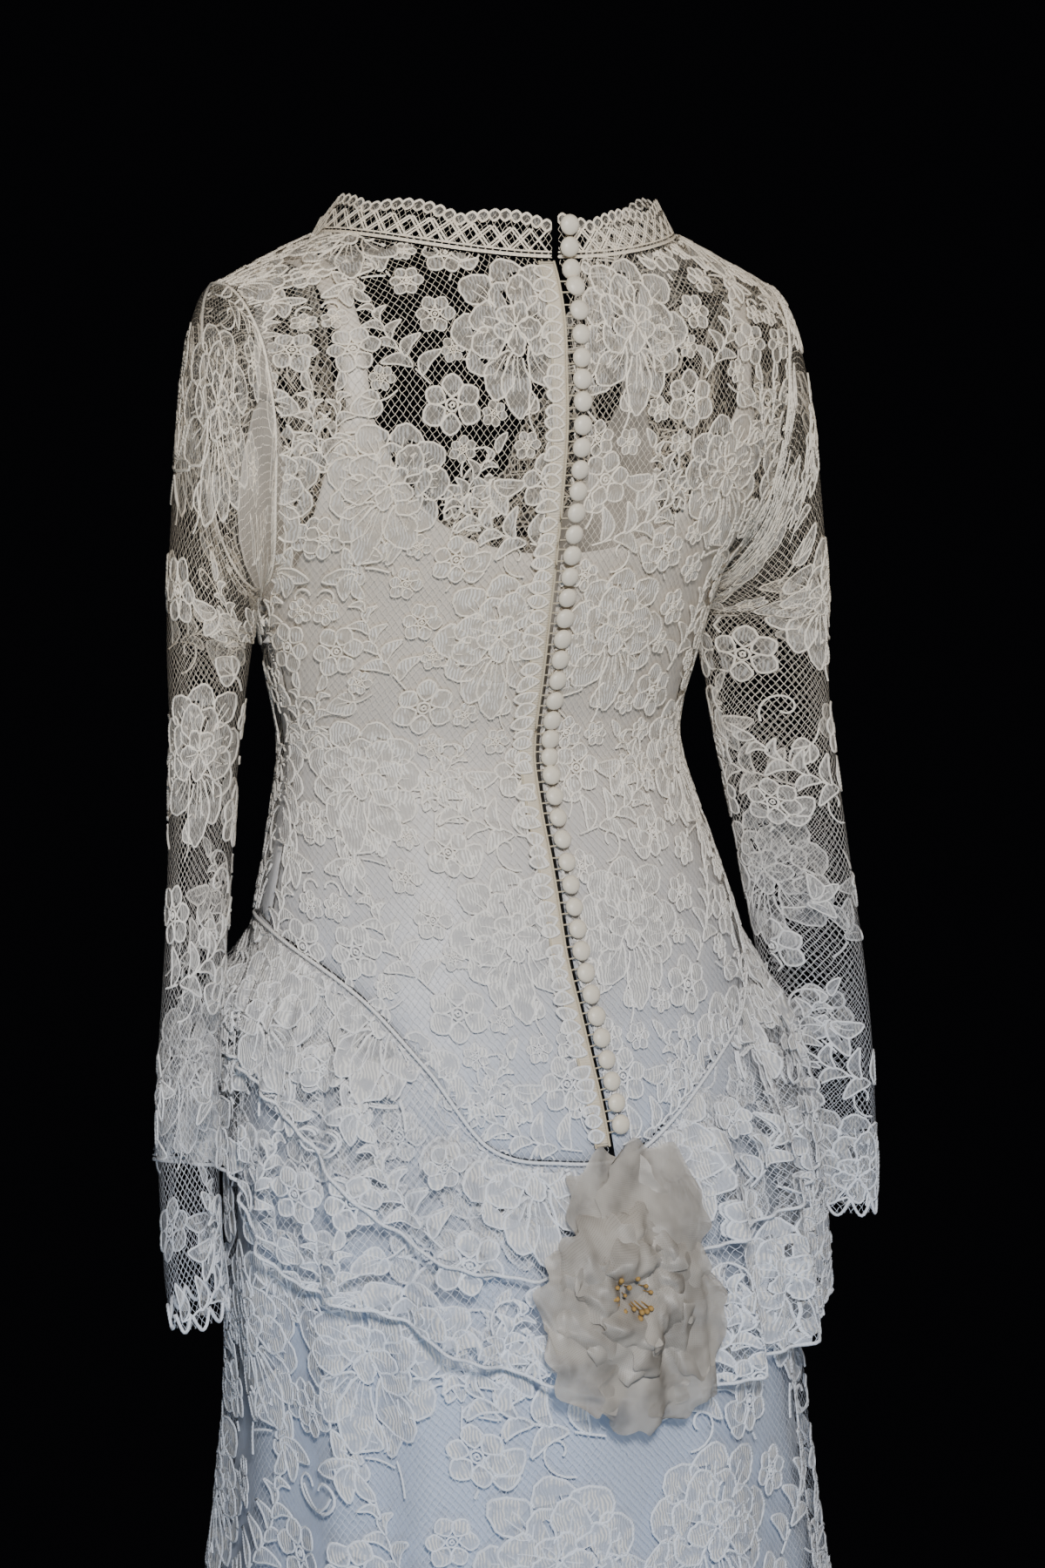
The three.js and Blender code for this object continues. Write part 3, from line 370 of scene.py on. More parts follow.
@dataclass
class Cloth:
    """Points and faces of a piece on their way to a mesh."""

    points: list[Array] = field(default_factory=list)
    maps: list[Array] = field(default_factory=list)
    quads: list[Array] = field(default_factory=list)
    kinds: list[Array] = field(default_factory=list)
    count: int = 0

    def add(self, points: Array, quads: Array, flat: Array | None = None, kind: int | Array = 0) -> None:
        """Add points and four-sided faces.

        Args:
            points: places in millimetres.
            quads: rows of four point numbers.
            flat: the points' places on the flat cloth, in millimetres.
            kind: number of the material, for all or for each face.
        """
        points = points.reshape(-1, 3)
        flat = np.zeros((len(points), 2)) if flat is None else flat.reshape(-1, 2)
        self.points.append(points)
        self.maps.append(flat)
        self.quads.append(quads + self.count)
        self.kinds.append(np.broadcast_to(kind, (len(quads),)).astype(int))
        self.count += len(points)

    def grid(self, points: Array, flat: Array | None = None) -> None:
        """Add a grid of points, rows by columns.

        Args:
            points: rows, columns and places.
            flat: the same grid on the flat cloth.
        """
        rows, columns = points.shape[:2]
        i, j = np.meshgrid(np.arange(rows - 1), np.arange(columns - 1), indexing="ij")
        first = (i * columns + j).reshape(-1, 1)
        self.add(points, first + [0, 1, columns + 1, columns], flat)

    def face(self, away: Array, whole: bool = True) -> None:
        """Turn the newest faces to look outwards.

        Args:
            away: the outward direction at each of the newest points.
            whole: whether they turn as one, as a grid's do.
        """
        points = self.points[-1]
        corners = self.quads[-1] - (self.count - len(points))
        place = points[corners]
        normal = np.cross(place[:, 2] - place[:, 0], place[:, 3] - place[:, 1])
        along = (normal * away.reshape(-1, 3)[corners].mean(axis=1)).sum(axis=1)
        wrong = np.full(len(along), along.sum() < 0) if whole else along < 0
        self.quads[-1] = np.where(wrong[:, None], self.quads[-1][:, ::-1], self.quads[-1])

    def build(self, name: str, *finishes: "Finish") -> bpy.types.Object:
        """Make the Blender object.

        Args:
            name: the piece's name.
            finishes: its finishes, by the kinds' numbers.

        Returns:
            The new object, at the origin.
        """
        points = np.concatenate(self.points) * MM
        quads = np.concatenate(self.quads)
        flat = np.concatenate(self.maps) * MM
        kinds = np.concatenate(self.kinds)
        mesh = bpy.data.meshes.new(name)
        mesh.vertices.add(len(points))
        mesh.vertices.foreach_set("co", points.ravel())
        mesh.loops.add(quads.size)
        mesh.loops.foreach_set("vertex_index", quads.ravel())
        mesh.polygons.add(len(quads))
        mesh.polygons.foreach_set("loop_start", np.arange(0, quads.size, 4))
        mesh.polygons.foreach_set("material_index", kinds)
        mesh.update(calc_edges=True)
        layer = mesh.uv_layers.new(name="cloth")
        layer.data.foreach_set("uv", flat[quads.ravel()].ravel())
        mesh.polygons.foreach_set("use_smooth", np.ones(len(quads), bool))
        for kind in finishes:
            mesh.materials.append(finish(kind))
        mesh.validate()
        return linked(bpy.data.objects.new(name, mesh))


def linked(obj: bpy.types.Object) -> bpy.types.Object:
    """Put an object into the scene."""
    bpy.context.scene.collection.objects.link(obj)
    return obj


def weld(obj: bpy.types.Object, closed: bool = False) -> None:
    """Join points that lie in the same place.

    Args:
        obj: the piece.
        closed: whether it is a closed shell, whose faces are then turned outwards.
    """
    work = bmesh.new()
    work.from_mesh(obj.data)
    bmesh.ops.remove_doubles(work, verts=work.verts, dist=1e-6)
    if closed:
        bmesh.ops.recalc_face_normals(work, faces=work.faces)
    work.to_mesh(obj.data)
    work.free()


def thicken(obj: bpy.types.Object, thickness: float) -> None:
    """Give a sheet a wall, grown to its inner side.

    Args:
        obj: the sheet.
        thickness: the wall, in millimetres.
    """
    solid = obj.modifiers.new("wall", "SOLIDIFY")
    solid.thickness = thickness * MM
    solid.offset = -1
    solid.use_even_offset = True


def tube(path: Array, radius: float, sides: int, closed: bool) -> Array:
    """Sweep a round section along a path.

    Args:
        path: the middle line, in millimetres.
        radius: the section's radius.
        sides: sides of the section.
        closed: whether the path joins up.

    Returns:
        The grid of points, path by section.
    """
    if closed:
        path = np.concatenate([path, path[:1]])
    ahead = unit(np.gradient(path, axis=0))
    up = np.array([0.0, 0.0, 1.0])
    side = np.cross(ahead, up)
    weak = np.linalg.norm(side, axis=1) < 0.2
    side[weak] = np.cross(ahead[weak], np.array([0.0, 1.0, 0.0]))
    side = unit(side)
    other = np.cross(side, ahead)
    turn = np.linspace(0, 2 * math.pi, sides, endpoint=False)
    ring = np.cos(turn)[None, :, None] * side[:, None] + np.sin(turn)[None, :, None] * other[:, None]
    return path[:, None] + ring * radius


def walked(path: Array) -> Array:
    """Distance along a path at each of its points."""
    return np.r_[0, np.cumsum(np.linalg.norm(np.diff(path, axis=0), axis=1))]


def along(at: Array, walk: Array, path: Array) -> Array:
    """Points of a path at some distances along it, given the distances of its own points."""
    return np.stack([np.interp(at, walk, path[:, k]) for k in range(3)], -1)


# Charts: they lay the flat lace, in millimetres, on the form


@dataclass
class BodiceChart:
    """Lays flat lace on one half of the back, or on the front, of the bodice."""

    side: int
    yoke_stretch: float = 0.72
    levels: Array = field(default_factory=lambda: np.linspace(-600, 40, 129))
    shares: Array = field(default_factory=lambda: np.linspace(0, 1, 61))

    @property
    def back(self) -> bool:
        """Whether this is one of the backs."""
        return self.side != 0

    def __post_init__(self) -> None:
        """Measure the form's arcs, and turn them round into angles."""
        away = np.linspace(0, 90, 91)
        angles = away if self.back else FORM.front_angle(away)
        points = FORM.raw(angles[None, :], self.levels[:, None])
        steps = np.linalg.norm(np.diff(points, axis=1), axis=-1)
        self.arcs = np.concatenate([np.zeros((len(self.levels), 1)), np.cumsum(steps, axis=1)], axis=1)
        self.inverse = np.array([np.interp(self.shares, row / row[-1], away) for row in self.arcs])

    def level(self, v: Array) -> Array:
        """Level for a height on the flat cloth, which bends over the shoulder."""
        bent = FORM.cap_start + (v - FORM.cap_start) * self.yoke_stretch
        return np.where(v > FORM.cap_start, bent, v)

    def height(self, level: Array) -> Array:
        """Height on the flat cloth for a level."""
        bent = FORM.cap_start + (level - FORM.cap_start) / self.yoke_stretch
        return np.where(level > FORM.cap_start, bent, level)

    def side_reach(self, level: Array) -> Array:
        """Width of the flat cloth from its middle to its edge, at a level."""
        return np.interp(level, self.levels, self.arcs[:, -1])

    def read(self, table: Array, level: Array, column: Array) -> Array:
        """Read one of the chart's tables between its rows and columns.

        Args:
            table: arcs or angles, by level and column.
            level: heights.
            column: places across the table, in columns.

        Returns:
            The table's values there.
        """
        step = self.levels[1] - self.levels[0]
        row = np.clip((level - self.levels[0]) / step, 0, len(self.levels) - 1.001)
        i = row.astype(int)
        j = np.clip(column.astype(int), 0, table.shape[1] - 2)
        a, b = row - i, column - j
        low = table[i, j] * (1 - b) + table[i, j + 1] * b
        high = table[i + 1, j] * (1 - b) + table[i + 1, j + 1] * b
        return low * (1 - a) + high * a

    def angle(self, u: Array, level: Array) -> Array:
        """Angle round the body for a distance across the flat cloth.

        Args:
            u: millimetres from the middle, positive to the wearer's left.
            level: heights.

        Returns:
            Degrees round the body.
        """
        share = np.clip(np.abs(u) / self.side_reach(level), 0, 1) * (len(self.shares) - 1)
        away = self.read(self.inverse, level, share)
        return np.where(u < 0, -1.0, 1.0) * (away if self.back else FORM.front_angle(away))

    def place(self, u: Array, v: Array, lift: Array) -> Array:
        """Points of the form for points of the flat cloth."""
        level = self.level(v)
        return FORM.bodice(self.angle(u, level), level, LACE_OUT + lift)

    def inside(self, u: Array, v: Array) -> Array:
        """Whether points of the flat cloth lie within the cut piece.

        Args:
            u: distances across the flat cloth.
            v: heights on it.

        Returns:
            One answer for each point.
        """
        level = self.level(v)
        angle = self.angle(u, level)
        keep = np.abs(u) < self.side_reach(level) - 0.5
        keep &= (level > FORM.seam_level(angle) + 1) & (level < FORM.top(angle) - 1)
        if self.back:
            x = FORM.sections.curve("edge", level) * np.sin(np.radians(angle))
            keep &= (x - FORM.opening.curve("shift", level)) * self.side > FORM.back_edge(self.side)
        return keep

    def net(self, columns: int, rows: int) -> tuple[Array, Array]:
        """The piece's own grid, from its seam up to its top edge.

        Args:
            columns: steps across.
            rows: steps up.

        Returns:
            The grid on the form and the same grid on the flat cloth.
        """
        angle, level = FORM.panel(self.side, columns, rows, 0,
                                  lambda at: (FORM.seam_level(at), FORM.top(at)))
        away = np.abs(angle) if self.back else (180 - np.abs(angle)) / FORM.front_share
        flat = np.stack([np.sign(angle) * self.read(self.arcs, level, away), self.height(level)], -1)
        return FORM.bodice(angle, level, LACE_OUT), flat


@dataclass
class SleeveChart:
    """Lays flat lace on a sleeve, from the armhole to the cuff."""

    side: int
    table: Table
    tilt: float = 52
    cap_length: float = 230
    tube_length: float = 400
    puff: float = 0.35
    widths: Table = Table("down half", (0, 225), (60, 185), (120, 145), (230, 108), (400, 94), (630, 78))
    start_pull: tuple[float, float] = (18, 66)
    end_pull: tuple[float, float] = (22, 150)

    def __post_init__(self) -> None:
        """Note the levels where the straight sleeve begins and ends."""
        self.first, self.last = self.table.rows[[0, -1], 0]

    def oval(self, level: Array, direction: Array, grow: Array) -> Array:
        """A point on the sleeve's flat oval.

        Args:
            level: heights.
            direction: degrees round the sleeve, 0 outermost and 90 behind.
            grow: distance out.

        Returns:
            Points, in millimetres.
        """
        turn = np.radians(direction - self.tilt)
        long = (self.table.curve("long", level) + grow) * np.cos(turn)
        short = (self.table.curve("short", level) + grow) * np.sin(turn)
        cos, sin = math.cos(math.radians(self.tilt)), math.sin(math.radians(self.tilt))
        x = self.table.curve("x", level) + long * cos - short * sin
        y = self.table.curve("y", level) + long * sin + short * cos
        return np.stack([x, y, np.broadcast_to(level, x.shape)], -1)

    def along(self, direction: Array, row: Array, out: Array) -> Array:
        """A point of the sleeve.

        Args:
            direction: degrees round the sleeve.
            row: 0 at the armhole, 1 where the straight sleeve begins, 2 at the cuff.
            out: distance out from the bodice's form.

        Returns:
            Points, in millimetres.
        """
        direction, row, out = np.broadcast_arrays(direction, row, out)
        grow = out - LACE_OUT
        high = 1 - np.abs(direction) / 180
        level = FORM.underarm + (FORM.shoulder - FORM.underarm) * high
        start = FORM.bodice(np.where(direction >= 0, 90.0, FORM.front_start), level, out)
        start[..., 0] += FORM.seam_gap
        end = self.oval(np.full(row.shape, self.first), direction, grow)
        turn = np.radians(direction)
        lift = (1 + np.cos(turn)) / 2
        pull, drop = (low + (high - low) * lift for low, high in (self.start_pull, self.end_pull))
        puff = self.puff * np.sin(turn), self.puff * np.cos(turn)
        outward = unit(np.stack([np.ones_like(turn), *puff], -1)) * pull[..., None]
        down = drop[..., None] * [0, 0, -1]
        t = np.clip(row, 0, 1)[..., None]
        cap = start * (2 * t**3 - 3 * t**2 + 1) + outward * (t**3 - 2 * t**2 + t)
        cap = cap + end * (3 * t**2 - 2 * t**3) + down * (t**3 - t**2)
        level = self.first + (self.last - self.first) * np.clip(row - 1, 0, 1.05)
        lower = self.oval(level, direction, grow)
        point = np.where((row <= 1)[..., None], cap, lower)
        point[..., 0] *= self.side
        return point

    def half(self, v: Array) -> Array:
        """Half the flat width at a height on the flat cloth."""
        return self.widths.curve("half", -v)

    def row(self, v: Array) -> Array:
        """Row for a height on the flat cloth, which runs down from 0."""
        beyond = 1 + (-v - self.cap_length) / self.tube_length
        return np.where(-v < self.cap_length, -v / self.cap_length, beyond)

    def place(self, u: Array, v: Array, lift: Array) -> Array:
        """Points of the form for points of the flat cloth."""
        direction = np.clip(u / self.half(v), -1, 1) * 180
        return self.along(direction, self.row(v), LACE_OUT + lift)

    def inside(self, u: Array, v: Array) -> Array:
        """Whether points of the flat cloth lie within the cut piece."""
        return (np.abs(u) < self.half(v) - 1) & (v < -2) & (self.row(v) < 1.99)

    def net(self, columns: int, rows: int) -> tuple[Array, Array]:
        """The piece's own grid, from the armhole down to the cuff.

        Args:
            columns: steps round.
            rows: steps down.

        Returns:
            The grid on the form and the same grid on the flat cloth.
        """
        direction = np.linspace(-180, 180, columns + 1)[None, :]
        v = -np.linspace(0, self.cap_length + self.tube_length, rows + 1)[:, None]
        flat = np.stack(np.broadcast_arrays(direction / 180 * self.half(v), v), -1)
        return self.along(direction, self.row(v), LACE_OUT), flat


class Layer(Enum):
    """The layers that hang from the low seam, from the inside out."""

    LINING = 0
    SKIRT = 1
    LOWER_TIER = 2
    UPPER_TIER = 3


@dataclass
class HangingChart:
    """Lays flat lace on the skirt or on one tier of the peplum."""

    layer: Layer
    hem: float = -1430
    base: float = -0.25

    def out(self, angle: Array, drop: Array) -> Array:
        """Distance of this layer out from the skirt's oval.

        Args:
            angle: degrees round the body.
            drop: distances below the seam.

        Returns:
            Distances out.
        """
        stack = self.base + self.layer.value * STACK
        if self.layer is Layer.LINING:
            return stack + 0.5 * (FORM.skirt_out(angle, drop) - FORM.skirt_ease * smooth(drop / 60))
        if self.layer is Layer.SKIRT:
            return stack + FORM.skirt_out(angle, drop)
        tier = FORM.tier_ease * smooth(drop / 50) if self.layer is Layer.UPPER_TIER else 0
        return stack + FORM.peplum_out(angle, drop) + tier

    def end(self, angle: Array) -> Array:
        """Level of this layer's hem."""
        column = {Layer.LOWER_TIER: "lower", Layer.UPPER_TIER: "upper"}.get(self.layer)
        return FORM.hems.curve(column, angle) if column else np.full(np.shape(angle), self.hem)

    def radius(self, level: Array) -> Array:
        """Mean radius of the oval at a level."""
        depth = (FORM.skirts.curve("back", level) + FORM.skirts.curve("front", level)) / 2
        return (FORM.skirts.curve("half", level) + depth) / 2 + 10

    def point(self, angle: Array, level: Array, lift: Array) -> Array:
        """A point of the layer at an angle and a level."""
        drop = np.maximum(FORM.seam_level(angle) - FORM.seam_gap - level, 0)
        return FORM.skirt(angle, level, self.out(angle, drop) + lift)

    def place(self, u: Array, v: Array, lift: Array) -> Array:
        """Points of the form for points of the flat cloth."""
        return self.point(np.degrees(u / self.radius(v)), v, lift)

    def inside(self, u: Array, v: Array) -> Array:
        """Whether points of the flat cloth lie within the cut piece."""
        angle = np.degrees(u / self.radius(v))
        keep = (np.abs(angle) < 180) & (v < FORM.seam_level(angle) - 1.5)
        return keep & (v > self.end(angle) + 1)

    def net(self, columns: int, rows: int, power: float = 1.0) -> tuple[Array, Array]:
        """The piece's own grid, from the low seam down to the hem.

        Args:
            columns: steps round.
            rows: steps down.
            power: above 1 the rows stand closer near the seam.

        Returns:
            The grid on the form and the same grid on the flat cloth.
        """
        angle = np.linspace(-180, 180, columns + 1)[None, :]
        top = FORM.seam_level(angle) - FORM.seam_gap
        share = (np.linspace(0, 1, rows + 1) ** power)[:, None]
        level = top + (self.end(angle) - top) * share
        angle = np.broadcast_to(angle, level.shape)
        flat = np.stack([np.radians(angle) * self.radius(level), level], -1)
        return self.point(angle, level, np.zeros(level.shape)), flat


# Motifs of the lace, flat, in millimetres: fills with a raised cord round each

FILL, CORD, SHEER = 0, 1, 2


class Cover:
    """Remembers which places of the flat cloth are taken, so that no motif shows through another."""

    def __init__(self, low: Array, high: Array, cell: float) -> None:
        """Start with nothing taken.

        Args:
            low: least width and height of the cloth.
            high: greatest width and height of the cloth.
            cell: side of one square place.
        """
        self.low = np.asarray(low, float) - 2 * cell
        self.cell = cell
        shape = np.ceil((np.asarray(high, float) - self.low) / cell).astype(int) + 3
        self.taken = np.zeros(shape, bool)

    def index(self, points: Array) -> tuple[Array, Array]:
        """Cells of some points."""
        at = np.clip(((points - self.low) / self.cell).astype(int), 0, np.array(self.taken.shape) - 1)
        return at[..., 0], at[..., 1]

    def free(self, points: Array) -> Array:
        """Whether points lie where nothing is yet."""
        return ~self.taken[self.index(points)]

    def take(self, corners: Array) -> None:
        """Fill some four-sided faces.

        Args:
            corners: faces by corner by place.
        """
        a, b = np.meshgrid(np.linspace(0.04, 0.96, 8), np.linspace(0.04, 0.96, 8))
        shares = np.stack([(1 - a) * (1 - b), a * (1 - b), a * b, (1 - a) * b], -1).reshape(-1, 4)
        self.taken[self.index(np.einsum("sc,fcd->fsd", shares, corners))] = True


@dataclass
class Motif(Cloth):
    """A flat motif: points with a lift, four-sided faces, and what each face is."""

    cord_width: float = 1.5
    cord_height: float = 1.0

    def cord(self, line: Array, lift: float, closed: bool = False, thin: float = 1.0) -> None:
        """Lay a raised cord along a line.

        Args:
            line: points of the line.
            lift: its height above the net.
            closed: whether the line joins up.
            thin: share of the usual thickness.
        """
        if closed:
            ahead = np.roll(line, -1, axis=0) - np.roll(line, 1, axis=0)
        else:
            ahead = np.gradient(line, axis=0)
        side = unit(np.stack([-ahead[:, 1], ahead[:, 0]], -1)) * self.cord_width / 2 * thin
        rows = len(line)
        edges = np.stack([line - side, line, line + side], 1)
        heights = np.broadcast_to([lift - 0.15, lift + self.cord_height * thin, lift - 0.15], (rows, 3))
        points = np.concatenate([edges, heights[..., None]], -1)
        i = np.arange(rows if closed else rows - 1)
        nexts = (i + 1) % rows
        strip = np.stack([3 * i, 3 * nexts, 3 * nexts + 1, 3 * i + 1], -1)
        quads = [strip, strip + 1]
        self.add(points, np.concatenate(quads), kind=CORD)

    def petal(self, base: Sequence[float], turn: float, length: float, width: float, lift: float,
              tip: float, bend: float = 0.0, wave: float = 0.0, veins: int = 0, sheer: int = 0) -> None:
        """Add a petal or a leaf, filled, with a cord all round.

        Args:
            base: where it starts.
            turn: its direction in degrees, 0 pointing up.
            length: from base to tip.
            width: across its widest place.
            lift: its height above the net.
            tip: below 1 the widest place is near the base, above 1 near the tip.
            bend: how far it curves sideways.
            wave: how deep its edge is scalloped.
            veins: number of short inner cords.
            sheer: rows of thin cloth near the base.
        """
        s = np.linspace(0.02, 0.985, 8)
        half = width / 2 * np.sin(math.pi * s ** tip) ** 0.7
        half = half + wave * np.sin(s * math.pi * 5) * np.sin(math.pi * s)
        middle = bend * np.sin(math.pi * s * 1.15)
        y = length * s
        bulge = 0.35 * np.sin(math.pi * s)
        columns = [(middle - half, 0.05), (middle, 1.0), (middle + half, 0.05)]
        points = np.stack([np.stack([x, y, lift + share * bulge], -1) for x, share in columns], 1)
        turned_by = spin(turn)
        points[..., :2] = points[..., :2] @ turned_by + np.asarray(base, float)
        row = np.repeat(np.arange(len(s) - 1), 2)
        quads = np.arange(3 * len(s) - 3).reshape(-1, 3)[:, :2].reshape(-1, 1) + [0, 1, 4, 3]
        kinds = np.where(row < sheer, SHEER, FILL)
        self.add(points, quads, kind=kinds)
        outline = np.concatenate([points[:, 0, :2], points[::-1, 2, :2]])
        self.cord(outline, lift, closed=True)
        for k in range(veins):
            share = (k + 1) / (veins + 1) * 2 - 1
            t = np.linspace(0.12, 0.62, 4)
            x = np.interp(t, s, middle) + share * np.interp(t, s, half) * 0.75
            vein = np.stack([x, length * t], -1) @ turned_by + np.asarray(base, float)
            self.cord(vein, lift + 0.15, thin=0.55)

    def joined(self, cell: float = 0.6) -> tuple[Array, Array, Array]:
        """Give the points, faces and kinds as whole arrays, without what later parts cover.

        Args:
            cell: how finely covered places are told apart.

        Returns:
            Points, faces and kinds.
        """
        points = np.concatenate(self.points)
        cover = Cover(points[:, :2].min(axis=0), points[:, :2].max(axis=0), cell)
        quads, kinds, held = [], [], []
        for faces, kind in zip(reversed(self.quads), reversed(self.kinds)):
            corners = points[faces][..., :2]
            keep = cover.free(corners.mean(axis=1))
            quads.append(faces[keep])
            kinds.append(kind[keep])
            held.append(corners[kind != CORD])
            if len(held[-1]):
                for pending in held:
                    cover.take(pending)
                held.clear()
        return points, np.concatenate(quads), np.concatenate(kinds)


def spin(degrees: float) -> Array:
    """Matrix that turns rows of flat points against the clock."""
    cos, sin = math.cos(math.radians(degrees)), math.sin(math.radians(degrees))
    return np.array([[cos, -sin], [sin, cos]])


class MotifKind(Enum):
    """The motifs of the lace."""

    BLOSSOM = "large layered blossom"
    ROSETTE = "small open flower"
    SPRAY = "stem with leaves on both sides"
    SPRIG = "short curl with three leaves"
    BUD = "closed bud on a stalk"
    TENDRIL = "bare curled cord"


@dataclass
class MotifBook:
    """Draws each kind of motif once, with small differences from a fixed seed."""

    seed: int = 11
    made: dict[MotifKind, tuple[Array, Array, Array]] = field(default_factory=dict)

    def get(self, kind: MotifKind) -> tuple[Array, Array, Array]:
        """Give a motif, drawing it when first asked for."""
        if kind not in self.made:
            draw = getattr(self, kind.name.lower())
            self.made[kind] = draw(np.random.default_rng(self.seed)).joined()
        return self.made[kind]

    def blossom(self, rng: np.random.Generator) -> Motif:
        """A layered blossom, about 75 mm wide and 100 mm tall.

        Args:
            rng: gives the small differences.

        Returns:
            The motif.
        """
        motif = Motif()
        outer = [(turn, 19, 25, 24, 0.1, 3) for turn in (0, 42, 82, 122, 238, 278, 318)]
        low = [(150, 15, 38, 21, 0.15, 3), (180, 12, 44, 20, 0.3, 3), (211, 15, 37, 21, 0.15, 3)]
        inner = [(turn, 7, 24, 21, 0.5, 2) for turn in (18, 66, 112, 248, 294, 342)]
        heart = [(turn, 1, 16, 12, 0.9, 0) for turn in (-36, 36, 100, 180, 260)]
        for turn, start, length, width, lift, sheer in outer + low + inner + heart:
            turn += rng.uniform(-6, 6)
            angle = math.radians(turn)
            base = (start * math.sin(angle), start * math.cos(angle))
            length, width = length * rng.uniform(0.9, 1.12), width * rng.uniform(0.92, 1.1)
            veins = 2 if sheer == 3 else 1
            motif.petal(base, turn, length, width, lift, 1.2, rng.uniform(-2.5, 2.5), 1.0, veins, sheer)
        return motif

    def rosette(self, rng: np.random.Generator) -> Motif:
        """A small flower of six round petals, about 38 mm across.

        Args:
            rng: gives the small differences.

        Returns:
            The motif.
        """
        motif = Motif()
        for k in range(6):
            turn = 60 * k + rng.uniform(-5, 5)
            angle = math.radians(turn)
            size = rng.uniform(0.92, 1.08)
            base = (5 * math.sin(angle), 5 * math.cos(angle))
            motif.petal(base, turn, 14.5 * size, 13 * size, 0.3 + 0.12 * (k % 2), 1.15, 0, 0.4, 0, 2)
        t = np.linspace(0, 2 * math.pi, 9, endpoint=False)
        motif.cord(np.stack([4 * np.sin(t), 4 * np.cos(t)], -1), 0.7, closed=True)
        motif.cord(np.stack([1.6 * np.sin(t[::2]), 1.6 * np.cos(t[::2])], -1), 0.8, closed=True)
        return motif

    def stem(self, height: float, bend: float, steps: int = 12) -> Array:
        """The line of a curved stem from the origin upwards."""
        t = np.linspace(0, 1, steps)
        return np.stack([bend * np.sin(t * 2.6), height * t], -1)

    def spray(self, rng: np.random.Generator) -> Motif:
        """A curved stem 90 mm long with nine leaves.

        Args:
            rng: gives the small differences.

        Returns:
            The motif.
        """
        motif = Motif()
        line = self.stem(86, 12)
        motif.cord(line, 0.3)
        for k in range(8):
            at = 0.1 + 0.11 * k
            point = [np.interp(at, np.linspace(0, 1, len(line)), column) for column in line.T]
            side = 1 if k % 2 else -1
            size = 27 - 1.6 * k + rng.uniform(-1, 1)
            turn = side * (58 - 2.5 * k)
            motif.petal(point, turn, size, size * 0.38, 0.25, 0.85, side * -4.2, 0, 0, 2)
        motif.petal(line[-1], 8, 20, 8, 0.3, 0.85, 2)
        return motif

    def sprig(self, rng: np.random.Generator) -> Motif:
        """A short curl with three broad leaves.

        Args:
            rng: gives the small differences.

        Returns:
            The motif.
        """
        motif = Motif()
        motif.cord(self.stem(34, -7, 7), 0.25)
        for k, (turn, size) in enumerate(((-58, 25), (4, 28), (64, 23))):
            length = size + rng.uniform(-1, 1)
            motif.petal((-4, 20 + 3 * k), turn, length, 11.5, 0.25 + 0.1 * k, 0.85, 3 - 3 * k, 0.3, 1)
        return motif

    def bud(self, rng: np.random.Generator) -> Motif:
        """A closed bud with two sepals.

        Args:
            rng: gives the small differences.

        Returns:
            The motif.
        """
        motif = Motif()
        motif.cord(self.stem(20, 3, 5), 0.25)
        motif.petal((2, 17), 0, 21, 14, 0.45, 0.95, 0, 0.4, 2)
        motif.petal((2, 15), -38, 15 + rng.uniform(-1, 1), 7, 0.25, 0.85, -2)
        motif.petal((2, 15), 38, 15 + rng.uniform(-1, 1), 7, 0.25, 0.85, 2)
        return motif

    def tendril(self, rng: np.random.Generator) -> Motif:
        """A bare cord that curls.

        Args:
            rng: gives the small differences.

        Returns:
            The motif.
        """
        motif = Motif()
        t = np.linspace(0, 1, 16)
        radius = 15 * (1 - 0.75 * t)
        turn = t * 5.2 + rng.uniform(-0.1, 0.1)
        motif.cord(np.stack([radius * np.cos(turn) - 15, radius * np.sin(turn) + 6 * t], -1), 0.2)
        return motif


BOOK = MotifBook()


